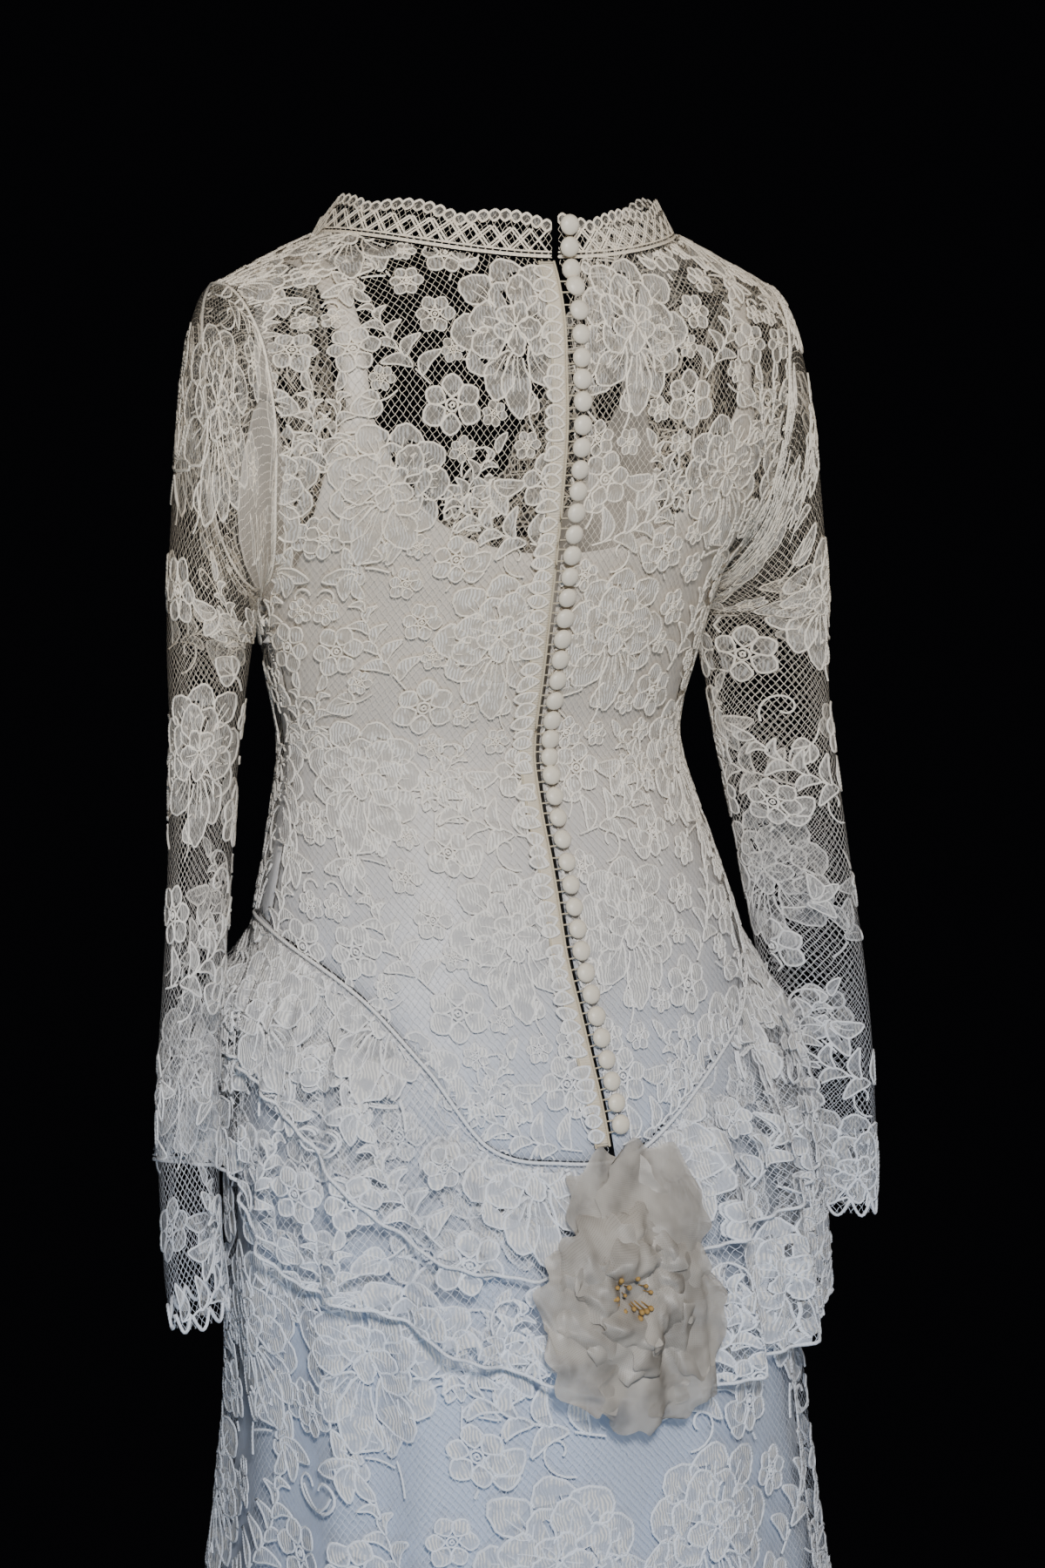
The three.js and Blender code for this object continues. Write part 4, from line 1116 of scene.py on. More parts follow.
@dataclass(frozen=True)
class Repeat:
    """The lace's repeat: its motifs' places in one tile."""

    width: float = 176
    height: float = 210
    rows: tuple[tuple[MotifKind, tuple[tuple[float, ...], ...]], ...] = (
        (MotifKind.BLOSSOM, ((46, -50, 6, 1.0), (132, -152, -12, 0.95))),
        (MotifKind.ROSETTE, ((92, -100, 0, 1.05), (22, -152, 20, 1.0), (156, -60, 40, 0.95),
                             (82, -204, 10, 0.85), (100, -38, 24, 0.7), (172, -188, 5, 0.75))),
        (MotifKind.SPRAY, ((16, -198, 58, 0.95), (106, -86, 24, 0.85), (88, -190, -30, 0.75),
                           (166, -152, 12, 0.75))),
        (MotifKind.SPRIG, ((12, -112, -20, 1.0), (66, -126, 200, 1.0), (122, -16, 30, 1.0),
                           (172, -104, 150, 1.0), (58, -172, 70, 0.9), (8, -30, 170, 0.8),
                           (126, -212, 100, 0.9), (84, -70, -60, 0.8))),
        (MotifKind.BUD, ((86, -16, -50, 1.0), (48, -150, 140, 0.9), (128, -90, 110, 0.9),
                         (142, -24, 20, 0.9), (34, -118, 10, 0.8), (104, -170, -80, 0.8))),
        (MotifKind.TENDRIL, ((84, -146, 20, 1.0), (164, -22, 160, 1.1), (34, -8, 100, 0.9))),
    )
    fillers: tuple[tuple[MotifKind, tuple[tuple[float, ...], ...]], ...] = (
        (MotifKind.ROSETTE, ((14, -124, 12, 0.65), (13, -9, 0, 0.6), (114, -10, 20, 0.6),
                             (166, -32, 8, 0.5), (39, -127, 30, 0.5), (84, -129, 0, 0.48),
                             (63, -106, 14, 0.46), (90, -63, 40, 0.46), (138, -82, 22, 0.46),
                             (108, -194, 5, 0.44))),
        (MotifKind.BUD, ((10, -186, 10, 0.8),)),
    )

    def lay(self, low: Sequence[float], high: Sequence[float], shift: float = 0, scale: float = 1,
            dense: bool = False) -> list[tuple]:
        """Lay tiles over a stretch of flat cloth, mirrored by turns.

        Args:
            low: least width and height to cover.
            high: greatest width and height to cover.
            shift: how far the tiles are moved up.
            scale: size of the tiles and their motifs.
            dense: whether small flowers fill the gaps.

        Returns:
            A row for each motif: kind, place, turn, size and mirror.
        """
        placed = []
        wide, tall = self.width * scale, self.height * scale
        groups = self.rows + (self.fillers if dense else ())
        motifs = [(kind, *at) for kind, places in groups for at in places]
        for column in range(math.floor(low[0] / wide), math.ceil(high[0] / wide)):
            mirror = column % 2 != 0
            for row in range(math.floor(low[1] / tall) - 1, math.ceil(high[1] / tall) + 2):
                for kind, u, v, turn, size in motifs:
                    x = (column + 1) * wide - u * scale if mirror else column * wide + u * scale
                    y = v * scale + row * tall + shift
                    placed.append((kind, x, y, turn, size * scale, -1 if mirror else 1))
        return placed


REPEAT = Repeat()


def worked(name: str, chart: object, points: Array, quads: Array, kinds: Array,
           finishes: Sequence["Finish"]) -> bpy.types.Object:
    """Lay flat work on a chart, its faces outwards.

    Args:
        name: the new piece's name.
        chart: the chart that lays flat cloth on the form.
        points: places on the flat cloth, with their lifts.
        quads: rows of four point numbers.
        kinds: what each face is.
        finishes: the finishes, by kind.

    Returns:
        The new object.
    """
    u, v, lift = points.T
    place = chart.place(u, v, lift)
    cloth = Cloth()
    cloth.add(place, quads, points[:, :2], kinds)
    cloth.face(chart.place(u, v, lift + 1) - place, whole=False)
    return cloth.build(name, *finishes)


def embroider(name: str, chart: object, placed: Sequence[tuple], finishes: Sequence["Finish"],
              lift: float = 0.15) -> bpy.types.Object:
    """Work motifs on a piece of lace.

    Args:
        name: the new piece's name.
        chart: the chart that lays flat cloth on the form.
        placed: kind, place, turn, size and mirror of each motif.
        finishes: the finishes of fills, cords and sheer fills.
        lift: height of the motifs over the net.

    Returns:
        The motifs as one object.
    """
    points, quads, kinds = [], [], []
    count = 0
    order = list(MotifKind)
    places = np.array([row[1:3] for row in placed])
    cover = Cover(places.min(axis=0) - 90, places.max(axis=0) + 90, 1.0)
    for kind, x, y, turn, size, mirror in sorted(placed, key=lambda row: order.index(row[0])):
        base, faces, kind_of = BOOK.get(kind)
        local = base.copy()
        local[:, 0] *= mirror
        local[:, :2] = (local[:, :2] * size) @ spin(turn * mirror) + np.array([x, y])
        corners = local[faces][..., :2]
        keep = cover.free(corners.mean(axis=1))
        points.append(local)
        quads.append(faces[keep] + count)
        kinds.append(kind_of[keep])
        count += len(local)
        cover.take(corners[kind_of != CORD])
    points, quads, kinds = np.concatenate(points), np.concatenate(quads), np.concatenate(kinds)
    keep = chart.inside(points[:, 0], points[:, 1])[quads].all(axis=1)
    used, quads = np.unique(quads[keep], return_inverse=True)
    points = points[used] + [0, 0, lift]
    return worked(name, chart, points, quads.reshape(-1, 4), kinds[keep], finishes)


# Materials


class Value:
    """A socket that takes part in Python expressions, each of which adds its Math nodes."""

    def __init__(self, graph: "Graph", socket: object) -> None:
        """Wrap a node's output socket."""
        self.graph = graph
        self.socket = socket

    def _with(self, operation: str, *values: object) -> "Value":
        """Add a Math node and wrap its result."""
        return self.graph.node("ShaderNodeMath", {"operation": operation}, dict(enumerate(values)))

    def __add__(self, other: object) -> "Value":
        """Add."""
        return self._with("ADD", self, other)

    def __sub__(self, other: object) -> "Value":
        """Subtract."""
        return self._with("SUBTRACT", self, other)

    def __rsub__(self, other: object) -> "Value":
        """Subtract, reflected."""
        return self._with("SUBTRACT", other, self)

    def __mul__(self, other: object) -> "Value":
        """Multiply."""
        return self._with("MULTIPLY", self, other)

    def wave(self) -> "Value":
        """Sine."""
        return self._with("SINE", self)

    def size(self) -> "Value":
        """Distance from zero."""
        return self._with("ABSOLUTE", self)

    def least(self, other: object) -> "Value":
        """The lesser of two."""
        return self._with("MINIMUM", self, other)

    def most(self, other: object) -> "Value":
        """The greater of two."""
        return self._with("MAXIMUM", self, other)

    def between(self, low: float, high: float) -> "Value":
        """Ease from 0 at low to 1 at high."""
        ranged = {"Value": self, "From Min": low, "From Max": high}
        return self.graph.node("ShaderNodeMapRange", {"interpolation_type": "SMOOTHSTEP"}, ranged)


class Graph:
    """Builds one material's nodes."""

    def __init__(self, name: str) -> None:
        """Start a material with a Principled shader and an output."""
        self.material = bpy.data.materials.new(name)
        self.material.use_nodes = True
        self.tree = self.material.node_tree
        self.shader = self.tree.nodes["Principled BSDF"]

    def node(self, kind: str, settings: dict | None = None, sockets: dict | None = None,
             output: int | str = 0) -> Value:
        """Add a node: its settings first, then its sockets.

        Args:
            kind: the node's type.
            settings: its properties.
            sockets: values or links, by socket name or number.
            output: the output socket to wrap.

        Returns:
            The chosen output.
        """
        made = self.tree.nodes.new(kind)
        for key, value in (settings or {}).items():
            setattr(made, key, value)
        for key, value in (sockets or {}).items():
            self.feed(made.inputs[key], value)
        return Value(self, made.outputs[output])

    def feed(self, socket: object, value: object) -> None:
        """Set a socket, or link it."""
        if isinstance(value, Value):
            self.tree.links.new(value.socket, socket)
        else:
            socket.default_value = value

    def mix(self, share: object, first: object, second: object) -> Value:
        """Mix two colours.

        Args:
            share: of the second, from 0 to 1.
            first: a colour.
            second: a colour.

        Returns:
            The mixed colour.
        """
        made = self.tree.nodes.new("ShaderNodeMix")
        made.data_type = "RGBA"
        colours = [s for s in made.inputs if s.type == "RGBA"]
        self.feed(made.inputs[0], share)
        self.feed(colours[0], first)
        self.feed(colours[1], second)
        return Value(self, next(s for s in made.outputs if s.type == "RGBA"))

    def place(self) -> Value:
        """Object coordinates, in metres."""
        return self.node("ShaderNodeTexCoord", output="Object")

    def cloth(self) -> Value:
        """The piece's own flat coordinates, in metres."""
        return self.node("ShaderNodeUVMap", {"uv_map": "cloth"})

    def axes(self, vector: Value) -> tuple[Value, Value, Value]:
        """Part a vector into its three numbers."""
        made = self.tree.nodes.new("ShaderNodeSeparateXYZ")
        self.feed(made.inputs[0], vector)
        return tuple(Value(self, socket) for socket in made.outputs)

    def noise(self, where: Value, scale: float, detail: float = 2.0) -> Value:
        """Smooth noise from 0 to 1."""
        return self.node("ShaderNodeTexNoise", {}, {"Vector": where, "Scale": scale, "Detail": detail})

    def bump(self, height: Value, depth: float, strength: float = 1.0) -> None:
        """Raise the surface by a height from 0 to 1, given its depth in metres."""
        sockets = {"Height": height, "Distance": depth, "Strength": strength}
        self.feed(self.shader.inputs["Normal"], self.node("ShaderNodeBump", {}, sockets))

    def set(self, **sockets: object) -> None:
        """Feed the shader's sockets, with underscores for spaces."""
        for key, value in sockets.items():
            self.feed(self.shader.inputs[key.replace("_", " ")], value)


Shade = tuple[float, float, float]


def colour(red: float, green: float, blue: float) -> tuple[float, float, float, float]:
    """Turn a screen colour of 0 to 255 into a linear one."""
    parts = [c / 255 for c in (red, green, blue)]
    return tuple(c / 12.92 if c < 0.04045 else ((c + 0.055) / 1.055) ** 2.4 for c in parts) + (1.0,)


@dataclass(frozen=True)
class IvoryWithPaintedLight:
    """An ivory cloth colour, warmer at the shoulders and cooler below: painted warm light above and
    painted cool light below.
    """

    # high is the ivory with painted warm light, low the ivory with painted cool light
    high: Shade = (238, 225, 204)
    low: Shade = (220, 226, 238)

    def colour(self, graph: Graph) -> Value:
        """Mix the two colours by height, a little clouded: painted warm light above, painted cool light
        below.

        Args:
            graph: the material's nodes.

        Returns:
            The colour.
        """
        where = graph.place()
        height = graph.axes(where)[2]
        cloud = graph.noise(where, 5.0) * 0.12
        # painted light: the cool colour low down turns into the warm colour high up
        share = (height + cloud).between(-0.62, -0.12)
        return graph.mix(share, colour(*self.low), colour(*self.high))


class Look:
    """A finish that paints its own material."""

    def make(self, name: str) -> bpy.types.Material:
        """Make the material."""
        graph = Graph(name)
        self.paint(graph)
        return graph.material

    def paint(self, graph: Graph) -> None:
        """Build the finish's nodes.

        Args:
            graph: the material's nodes.
        """
        raise NotImplementedError


@dataclass(frozen=True)
class Net(Look):
    """Fine uneven net: two families of thin threads that cross in long diamonds."""

    # ivory with painted warm light above and painted cool light below
    tint: IvoryWithPaintedLight = IvoryWithPaintedLight()
    wide: float = 0.0044
    tall: float = 0.0058
    drift: float = 0.0022
    thread: tuple[float, float] = (0.05, 0.16)

    def paint(self, graph: Graph) -> None:
        """Build the finish's nodes.

        Args:
            graph: the material's nodes.
        """
        across, along, _ = graph.axes(graph.cloth())
        sway = (graph.noise(graph.cloth(), 210.0, 1.0) - 0.5) * self.drift
        other = (graph.noise(graph.cloth(), 170.0, 1.0) - 0.5) * self.drift
        across, along = (across + sway) * (math.pi / self.wide), (along + other) * (math.pi / self.tall)
        gap = (across + along).wave().size().least((across - along).wave().size())
        graph.set(Base_Color=self.tint.colour(graph), Roughness=0.8, Alpha=1 - gap.between(*self.thread))


@dataclass(frozen=True)
class Fill(Look):
    """The closely woven inside of a motif: short satin strokes over a fine ground."""

    # ivory with painted warm light above and painted cool light below
    tint: IvoryWithPaintedLight = IvoryWithPaintedLight((224, 214, 198), (220, 226, 238))
    bright: Shade = (250, 246, 238)
    pitch: float = 0.0011
    stroke: float = 0.0021
    cover: float = 0.5
    floor: float = 0.14
    glint: float = 0.4
    yoke: tuple[float, float] = (-0.2, -0.13)

    def paint(self, graph: Graph) -> None:
        """Build the finish's nodes.

        Args:
            graph: the material's nodes.
        """
        across, along, _ = graph.axes(graph.cloth())
        turn = 2 * math.pi / self.pitch
        weave = (across * turn).wave().size().most((along * turn).wave().size())
        drift = graph.noise(graph.cloth(), 75.0, 2.0) * 26
        strokes = (across * (2 * math.pi / self.stroke) + drift).wave() * 0.5 + 0.5
        patches = graph.noise(graph.cloth(), 110.0, 3.0).between(0.4, 0.56)
        lit = strokes * patches
        thinned = 1 - graph.axes(graph.place())[2].between(*self.yoke) * 0.45
        cover = weave.between(0.3, 0.75) * self.cover + self.floor + lit * self.glint
        shade = graph.mix(lit, self.tint.colour(graph), colour(*self.bright))
        graph.set(Base_Color=shade, Roughness=0.62, Alpha=(cover * thinned).least(1.0))
        graph.bump(strokes * 0.6 + patches * 0.4, 0.0006, 0.8)


@dataclass(frozen=True)
class Cord(Look):
    """Bright twisted cord."""

    # ivory with painted warm light above and painted cool light below
    tint: IvoryWithPaintedLight = IvoryWithPaintedLight((250, 239, 220), (238, 243, 252))
    twist: float = 0.0024

    def paint(self, graph: Graph) -> None:
        """Build the finish's nodes.

        Args:
            graph: the material's nodes.
        """
        across, along, _ = graph.axes(graph.cloth())
        turn = 2 * math.pi / self.twist
        strands = (across * turn + along * turn).wave() * 0.5 + 0.5
        graph.set(Base_Color=self.tint.colour(graph), Roughness=0.6)
        graph.bump(strands, 0.00025, 0.7)


@dataclass(frozen=True)
class Satin(Look):
    """Smooth satin with a soft sheen."""

    # ivory with painted warm light above and painted cool light below
    tint: IvoryWithPaintedLight = IvoryWithPaintedLight((212, 203, 190), (192, 203, 222))
    roughness: float = 0.36

    def paint(self, graph: Graph) -> None:
        """Build the finish's nodes.

        Args:
            graph: the material's nodes.
        """
        where = graph.place()
        soft = graph.noise(where, 22.0, 3.0)
        rough = graph.noise(where, 900.0, 1.0) * 0.12 + self.roughness
        graph.set(Base_Color=self.tint.colour(graph), Roughness=rough, Sheen_Weight=0.15)
        graph.bump(soft, 0.006, 0.5)


@dataclass(frozen=True)
class Tape(Look):
    """Ribbed ecru tape."""

    shade: Shade = (226, 214, 192)
    rib: float = 0.0016

    def paint(self, graph: Graph) -> None:
        """Build the finish's nodes.

        Args:
            graph: the material's nodes.
        """
        along = graph.axes(graph.cloth())[1]
        ribs = (along * (2 * math.pi / self.rib)).wave() * 0.5 + 0.5
        worn = graph.noise(graph.cloth(), 60.0, 3.0)
        shade = graph.mix(worn.between(0.3, 0.7) * 0.5, colour(*self.shade), colour(204, 190, 166))
        graph.set(Base_Color=shade, Roughness=0.82)
        graph.bump(ribs, 0.00025, 0.8)


@dataclass(frozen=True)
class ButtonCloth(Look):
    """Satin drawn over a small dome."""

    shade: Shade = (240, 230, 210)

    def paint(self, graph: Graph) -> None:
        """Build the finish's nodes.

        Args:
            graph: the material's nodes.
        """
        where = graph.place()
        weave = graph.noise(where, 1400.0, 1.0)
        shade = graph.mix(graph.noise(where, 40.0) * 0.4, colour(*self.shade), colour(214, 204, 188))
        graph.set(Base_Color=shade, Roughness=0.38, Sheen_Weight=0.1)
        graph.bump(weave, 0.0002, 0.4)


@dataclass(frozen=True)
class Organza(Look):
    """Crisp sheer cloth, grey-beige with paler threads."""

    shade: Shade = (198, 191, 181)
    pitch: float = 0.0022

    def paint(self, graph: Graph) -> None:
        """Build the finish's nodes.

        Args:
            graph: the material's nodes.
        """
        across, along, _ = graph.axes(graph.cloth())
        turn = 2 * math.pi / self.pitch
        weave = (across * turn).wave().size().most((along * turn).wave().size())
        cloud = graph.noise(graph.cloth(), 45.0, 4.0)
        shade = graph.mix(cloud.between(0.3, 0.75), colour(*self.shade), colour(148, 142, 134))
        graph.set(Base_Color=shade, Roughness=0.42, Alpha=weave.between(0.2, 0.7) * 0.4 + 0.38)
        graph.bump(cloud, 0.0016, 0.6)


@dataclass(frozen=True)
class Plain(Look):
    """One even colour with a faint grain."""

    shade: Shade
    roughness: float = 0.7

    def paint(self, graph: Graph) -> None:
        """Build the finish's nodes.

        Args:
            graph: the material's nodes.
        """
        grain = graph.noise(graph.place(), 700.0, 1.0)
        dark = colour(*(c * 0.86 for c in self.shade))
        graph.set(Base_Color=graph.mix(grain, dark, colour(*self.shade)), Roughness=self.roughness)


class Finish(Enum):
    """The finishes of the dress."""

    NET = Net()
    FILL = Fill()
    SHEER = Fill(cover=0.3, floor=0.03, glint=0.24)
    VEIL = Fill(cover=0.14, floor=0.0, glint=0.1)
    CORD = Cord()
    SATIN = Satin()
    TAPE = Tape()
    BUTTON = ButtonCloth()
    ORGANZA = Organza()
    THREAD = Plain((214, 200, 172))
    STAMEN = Plain((186, 148, 84))
    FLOOR = Plain((216, 214, 210), 0.8)


MADE: dict[Finish, bpy.types.Material] = {}


def finish(kind: Finish) -> bpy.types.Material:
    """Give a finish's material, made when first asked for."""
    if kind not in MADE:
        MADE[kind] = kind.value.make(kind.name.lower())
    return MADE[kind]


# Repeated small things, placed by Geometry Nodes


@dataclass
class Scatter:
    """Sets copies of a template on points, by a Geometry Nodes tree."""

    name: str
    template: bpy.types.Object
    kind: Finish
    spread: float = 0.0
    seed: int = 5

    def tree(self) -> bpy.types.NodeTree:
        """Build the tree with its named inputs.

        Returns:
            The tree.
        """
        tree = bpy.data.node_groups.new(self.name, "GeometryNodeTree")
        for name, kind in (("Geometry", "Geometry"), ("Template", "Object"), ("Spread", "Float"),
                           ("Seed", "Int"), ("Material", "Material")):
            tree.interface.new_socket(name, in_out="INPUT", socket_type="NodeSocket" + kind)
        tree.interface.new_socket("Geometry", in_out="OUTPUT", socket_type="NodeSocketGeometry")

        def add(kind: str, wires: dict, **settings: str) -> bpy.types.Node:
            """Add a node.

            Args:
                kind: the node's type.
                wires: what feeds each of its sockets.
                settings: its properties.

            Returns:
                The node.
            """
            node = tree.nodes.new(kind)
            for key, value in settings.items():
                setattr(node, key, value)
            for key, source in wires.items():
                tree.links.new(source, node.inputs[key])
            return node

        start = add("NodeGroupInput", {}).outputs
        info = add("GeometryNodeObjectInfo", {"Object": start["Template"]})
        wires, settings = {}, {"axis": "Z"}
        for name in ("aim", "up"):
            read = add("GeometryNodeInputNamedAttribute", {}, data_type="FLOAT_VECTOR")
            read.inputs["Name"].default_value = name
            wires["Vector"] = read.outputs["Attribute"]
            turned = add("FunctionNodeAlignRotationToVector", wires, **settings).outputs["Rotation"]
            wires, settings = {"Rotation": turned}, {"axis": "Y", "pivot_axis": "Z"}
        size = add("FunctionNodeRandomValue", {"Seed": start["Seed"]}, data_type="FLOAT")
        ends = [socket for socket in size.inputs if socket.type == "VALUE"]
        for operation, end in zip(("SUBTRACT", "ADD"), ends):
            maths = add("ShaderNodeMath", {1: start["Spread"]}, operation=operation)
            maths.inputs[0].default_value = 1.0
            tree.links.new(maths.outputs[0], end)
        scale = next(socket for socket in size.outputs if socket.type == "VALUE")
        place = add("GeometryNodeInstanceOnPoints", {
            "Points": start["Geometry"], "Instance": info.outputs["Geometry"], "Rotation": turned,
            "Scale": scale,
        })
        real = add("GeometryNodeRealizeInstances", {0: place.outputs[0]})
        dress = add("GeometryNodeSetMaterial", {0: real.outputs[0], "Material": start["Material"]})
        add("NodeGroupOutput", {0: dress.outputs[0]})
        return tree

    def build(self, spots: Array, aims: Array, ups: Array) -> bpy.types.Object:
        """Set the template on each spot.

        Args:
            spots: places in millimetres.
            aims: where each copy's Z points.
            ups: where each copy's Y points.

        Returns:
            One mesh with all the copies.
        """
        mesh = bpy.data.meshes.new(self.name)
        mesh.vertices.add(len(spots))
        mesh.vertices.foreach_set("co", (np.asarray(spots) * MM).ravel())
        for name, rows in (("aim", aims), ("up", ups)):
            layer = mesh.attributes.new(name, "FLOAT_VECTOR", "POINT")
            layer.data.foreach_set("vector", np.asarray(rows, float).ravel())
        points = linked(bpy.data.objects.new(self.name, mesh))
        modifier = points.modifiers.new("scatter", "NODES")
        modifier.node_group = self.tree()
        given = {"Template": self.template, "Spread": self.spread, "Seed": self.seed,
                 "Material": finish(self.kind)}
        for item in modifier.node_group.interface.items_tree:
            if item.in_out == "INPUT" and item.name in given:
                modifier[item.identifier] = given[item.name]
        bpy.context.view_layer.update()
        graph = bpy.context.evaluated_depsgraph_get()
        whole = bpy.data.meshes.new_from_object(points.evaluated_get(graph))
        points.modifiers.remove(modifier)
        points.data = whole
        whole.name = self.name
        bpy.data.objects.remove(self.template)
        return points


# Sub-assemblies


def settle(obj: bpy.types.Object, nodes: Sequence[str] = ()) -> bpy.types.Object:
    """Fix a piece to the dress's body.

    Args:
        obj: the piece.
        nodes: construction nodes that the piece stands for.

    Returns:
        The piece.
    """
    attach(obj, BODY)
    if nodes:
        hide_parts(*nodes)
    LOG.info("%s: %d faces", obj.name, len(obj.data.polygons))
    return obj


LACE = (Finish.FILL, Finish.CORD, Finish.SHEER)
OPEN_LACE = (Finish.SHEER, Finish.CORD, Finish.VEIL)
VEIL_LACE = (Finish.VEIL, Finish.CORD, Finish.VEIL)


@dataclass
class LacePiece:
    """A cut piece of net with motifs worked on it."""

    name: str
    chart: object
    flat: tuple[float, float]
    area: float
    columns: int
    rows: int
    low: tuple[float, float]
    high: tuple[float, float]
    shift: float = 0.0
    scale: float = 1.0
    held: str = "gathered"
    rests_on: tuple[str, ...] = ()
    parts: tuple[tuple[float, float], ...] = ()
    extras: tuple[bpy.types.Object, ...] = ()
    work: tuple[Finish, ...] = LACE
    spare: int = 0
    dense: bool = False

    def build(self) -> bpy.types.Object:
        """Returns:
            The net.
        """
        points, flat = self.chart.net(self.columns, self.rows)
        cloth = Cloth()
        cloth.grid(points, flat)
        u, v = flat[..., 0].ravel(), flat[..., 1].ravel()
        cloth.face(self.chart.place(u, v, np.ones(u.shape)) - self.chart.place(u, v, np.zeros(u.shape)))
        net = cloth.build(self.name + "_net", Finish.NET)
        weld(net)
        settle(net, (self.name,))
        pieces = list(self.extras)
        spans = self.parts or ((self.low[0], self.high[0]),)
        for number, (left, right) in enumerate(spans):
            placed = REPEAT.lay(self.low, self.high, self.shift, self.scale, self.dense)
            placed = [row for row in placed if left <= row[1] < right]
            placed = [row for k, row in enumerate(placed) if not self.spare or k % self.spare]
            tail = f"_{number + 1}" if len(spans) > 1 else ""
            work = embroider(f"{self.name}_motifs{tail}", self.chart, placed, self.work)
            pieces.append(settle(work))
        return net


def edging(name: str, path: Array, radius: float, closed: bool,
           kind: Finish = Finish.CORD, sides: int = 6) -> bpy.types.Object:
    """Sew a round cord along a path.

    Args:
        name: the new piece's name.
        path: the cord's middle line, in millimetres.
        radius: the cord's radius.
        closed: whether the path joins up.
        kind: the finish.
        sides: sides of the cord's section.

    Returns:
        The cord.
    """
    ring = tube(path, radius, sides, closed)
    round_it = np.linspace(0, 2 * math.pi * radius, sides, endpoint=False)
    flat = np.stack(np.broadcast_arrays(round_it, walked(ring.mean(axis=1))[:, None]), -1)
    cloth = Cloth()
    cloth.grid(ring.transpose(1, 0, 2), flat.transpose(1, 0, 2))
    last = np.concatenate([ring[:, -1:], ring[:, :1]], axis=1)
    cloth.grid(last, np.concatenate([flat[:, -1:], flat[:, :1]], axis=1))
    obj = cloth.build(name, kind)
    weld(obj, closed=True)
    return settle(obj)


def turned(name: str, kind: Finish, sides: int, *profile: tuple[float, float]) -> bpy.types.Object:
    """Turn a profile into a closed shell.

    Args:
        name: the new object's name.
        kind: the finish.
        sides: sides of the shell.
        profile: radius and height of each place of the profile, in millimetres.

    Returns:
        The shell, standing on the origin.
    """
    turn = np.linspace(0, 2 * math.pi, sides + 1)
    cloth = Cloth()
    cloth.grid(np.array([[(r * math.cos(a), r * math.sin(a), z) for a in turn] for r, z in profile]))
    obj = cloth.build(name, kind)
    weld(obj, closed=True)
    return obj


@dataclass
class Bodice:
    """Lace front and backs."""

    columns: int = 44
    rows: int = 96

    def build(self) -> None:
        """Build the three panels."""
        for name, side, left, right in (
            ("lace_back_left", 1, -20, 230),
            ("lace_back_right", -1, -230, 20),
            ("lace_front", 0, -230, 230),
        ):
            back = side != 0
            size, area = ((0.21, 0.60), 0.108) if back else ((0.46, 0.48), 0.142)
            columns = self.columns if back else 2 * self.columns
            LacePiece(name, BodiceChart(side), size, area, columns, self.rows, (left, -600), (right, 80),
                      scale=0.88 if back else 1.0, work=LACE if back else VEIL_LACE, dense=back,
                      held="stretched", rests_on=("skirt_lace",)).build()


@dataclass
class Sleeves:
    """The two long lace sleeves with scalloped cuffs."""

    left: Table = Table(
        "level x y long short",
        (-238, 197, 2, 47, 23), (-300, 203, 6, 43, 18), (-400, 217, 25, 40, 16), (-500, 233, 46, 38, 16),
        (-600, 240, 66, 33, 15), (-632, 239, 73, 31, 16),
    )
    right: Table = Table(
        "level x y long short",
        (-238, 197, 2, 47, 23), (-300, 203, 5, 43, 18), (-400, 216, 18, 40, 16), (-500, 230, 27, 38, 16),
        (-600, 234, 43, 33, 15), (-642, 232, 50, 31, 16),
    )

    def build(self) -> None:
        """Build both sleeves."""
        for name, side, table in (("sleeve_left", 1, self.left), ("sleeve_right", -1, self.right)):
            chart = SleeveChart(side, table)
            turn = np.linspace(-180, 180, 97)[:-1]
            scallop = 1.975 + 0.03 * np.abs(np.sin(np.radians(turn) * 5))
            cuff = edging(name + "_cuff", chart.along(turn, scallop, LACE_OUT), 1.1, True)
            hole = edging(name + "_seam", chart.along(turn, 0.02, LACE_OUT + 0.4), 0.9, True)
            LacePiece(name, chart, (0.45, 0.63), 0.112, 64, 80, (-230, -640), (230, 0), shift=-40 * side,
                      scale=0.95, work=OPEN_LACE, spare=3, held="hung", rests_on=("lace_front",),
                      extras=(cuff, hole)).build()


AROUND = np.linspace(-180, 180, 361)[:-1]


@dataclass
class Skirt:
    """The lace skirt with its corded hem."""

    columns: int = 216
    rows: int = 64

    def build(self) -> None:
        """Build the skirt."""
        chart = HangingChart(Layer.SKIRT)
        hem = chart.point(AROUND, np.full(AROUND.shape, chart.hem + 1.5), 0.0)
        seam = FORM.bodice(AROUND, FORM.seam_level(AROUND) - 0.2, LACE_OUT - 0.2)
        cords = (edging("skirt_lace_hem", hem, 1.6, True), edging("skirt_lace_seam", seam, 1.2, True))
        LacePiece("skirt_lace", chart, (2.4, 1.03), 1.44, self.columns, self.rows, (-1100, -1430),
                  (1100, -400), scale=1.15, parts=((-1100, -420), (-420, 0), (0, 420), (420, 1100)),
                  extras=cords, held="hung", rests_on=("lace_front",)).build()


@dataclass
class Peplum:
    """Two fluted tiers of lace with rolled hems."""

    columns: int = 288
    rows: int = 26

    def build(self) -> None:
        """Build both tiers."""
        for layer, name, size, area in (
            (Layer.LOWER_TIER, "peplum_lower", (1.50, 0.24), 0.212),
            (Layer.UPPER_TIER, "peplum_upper", (1.40, 0.17), 0.116),
        ):
            chart = HangingChart(layer)
            hem = edging(name + "_hem", chart.point(AROUND, chart.end(AROUND) + 1.0, 0.0), 1.2, True)
            LacePiece(name, chart, size, area, self.columns, self.rows, (-700, -700), (700, -400),
                      shift=60, scale=0.9, extras=(hem,), parts=((-700, 0), (0, 700)),
                      rests_on=("skirt_lace",)).build()


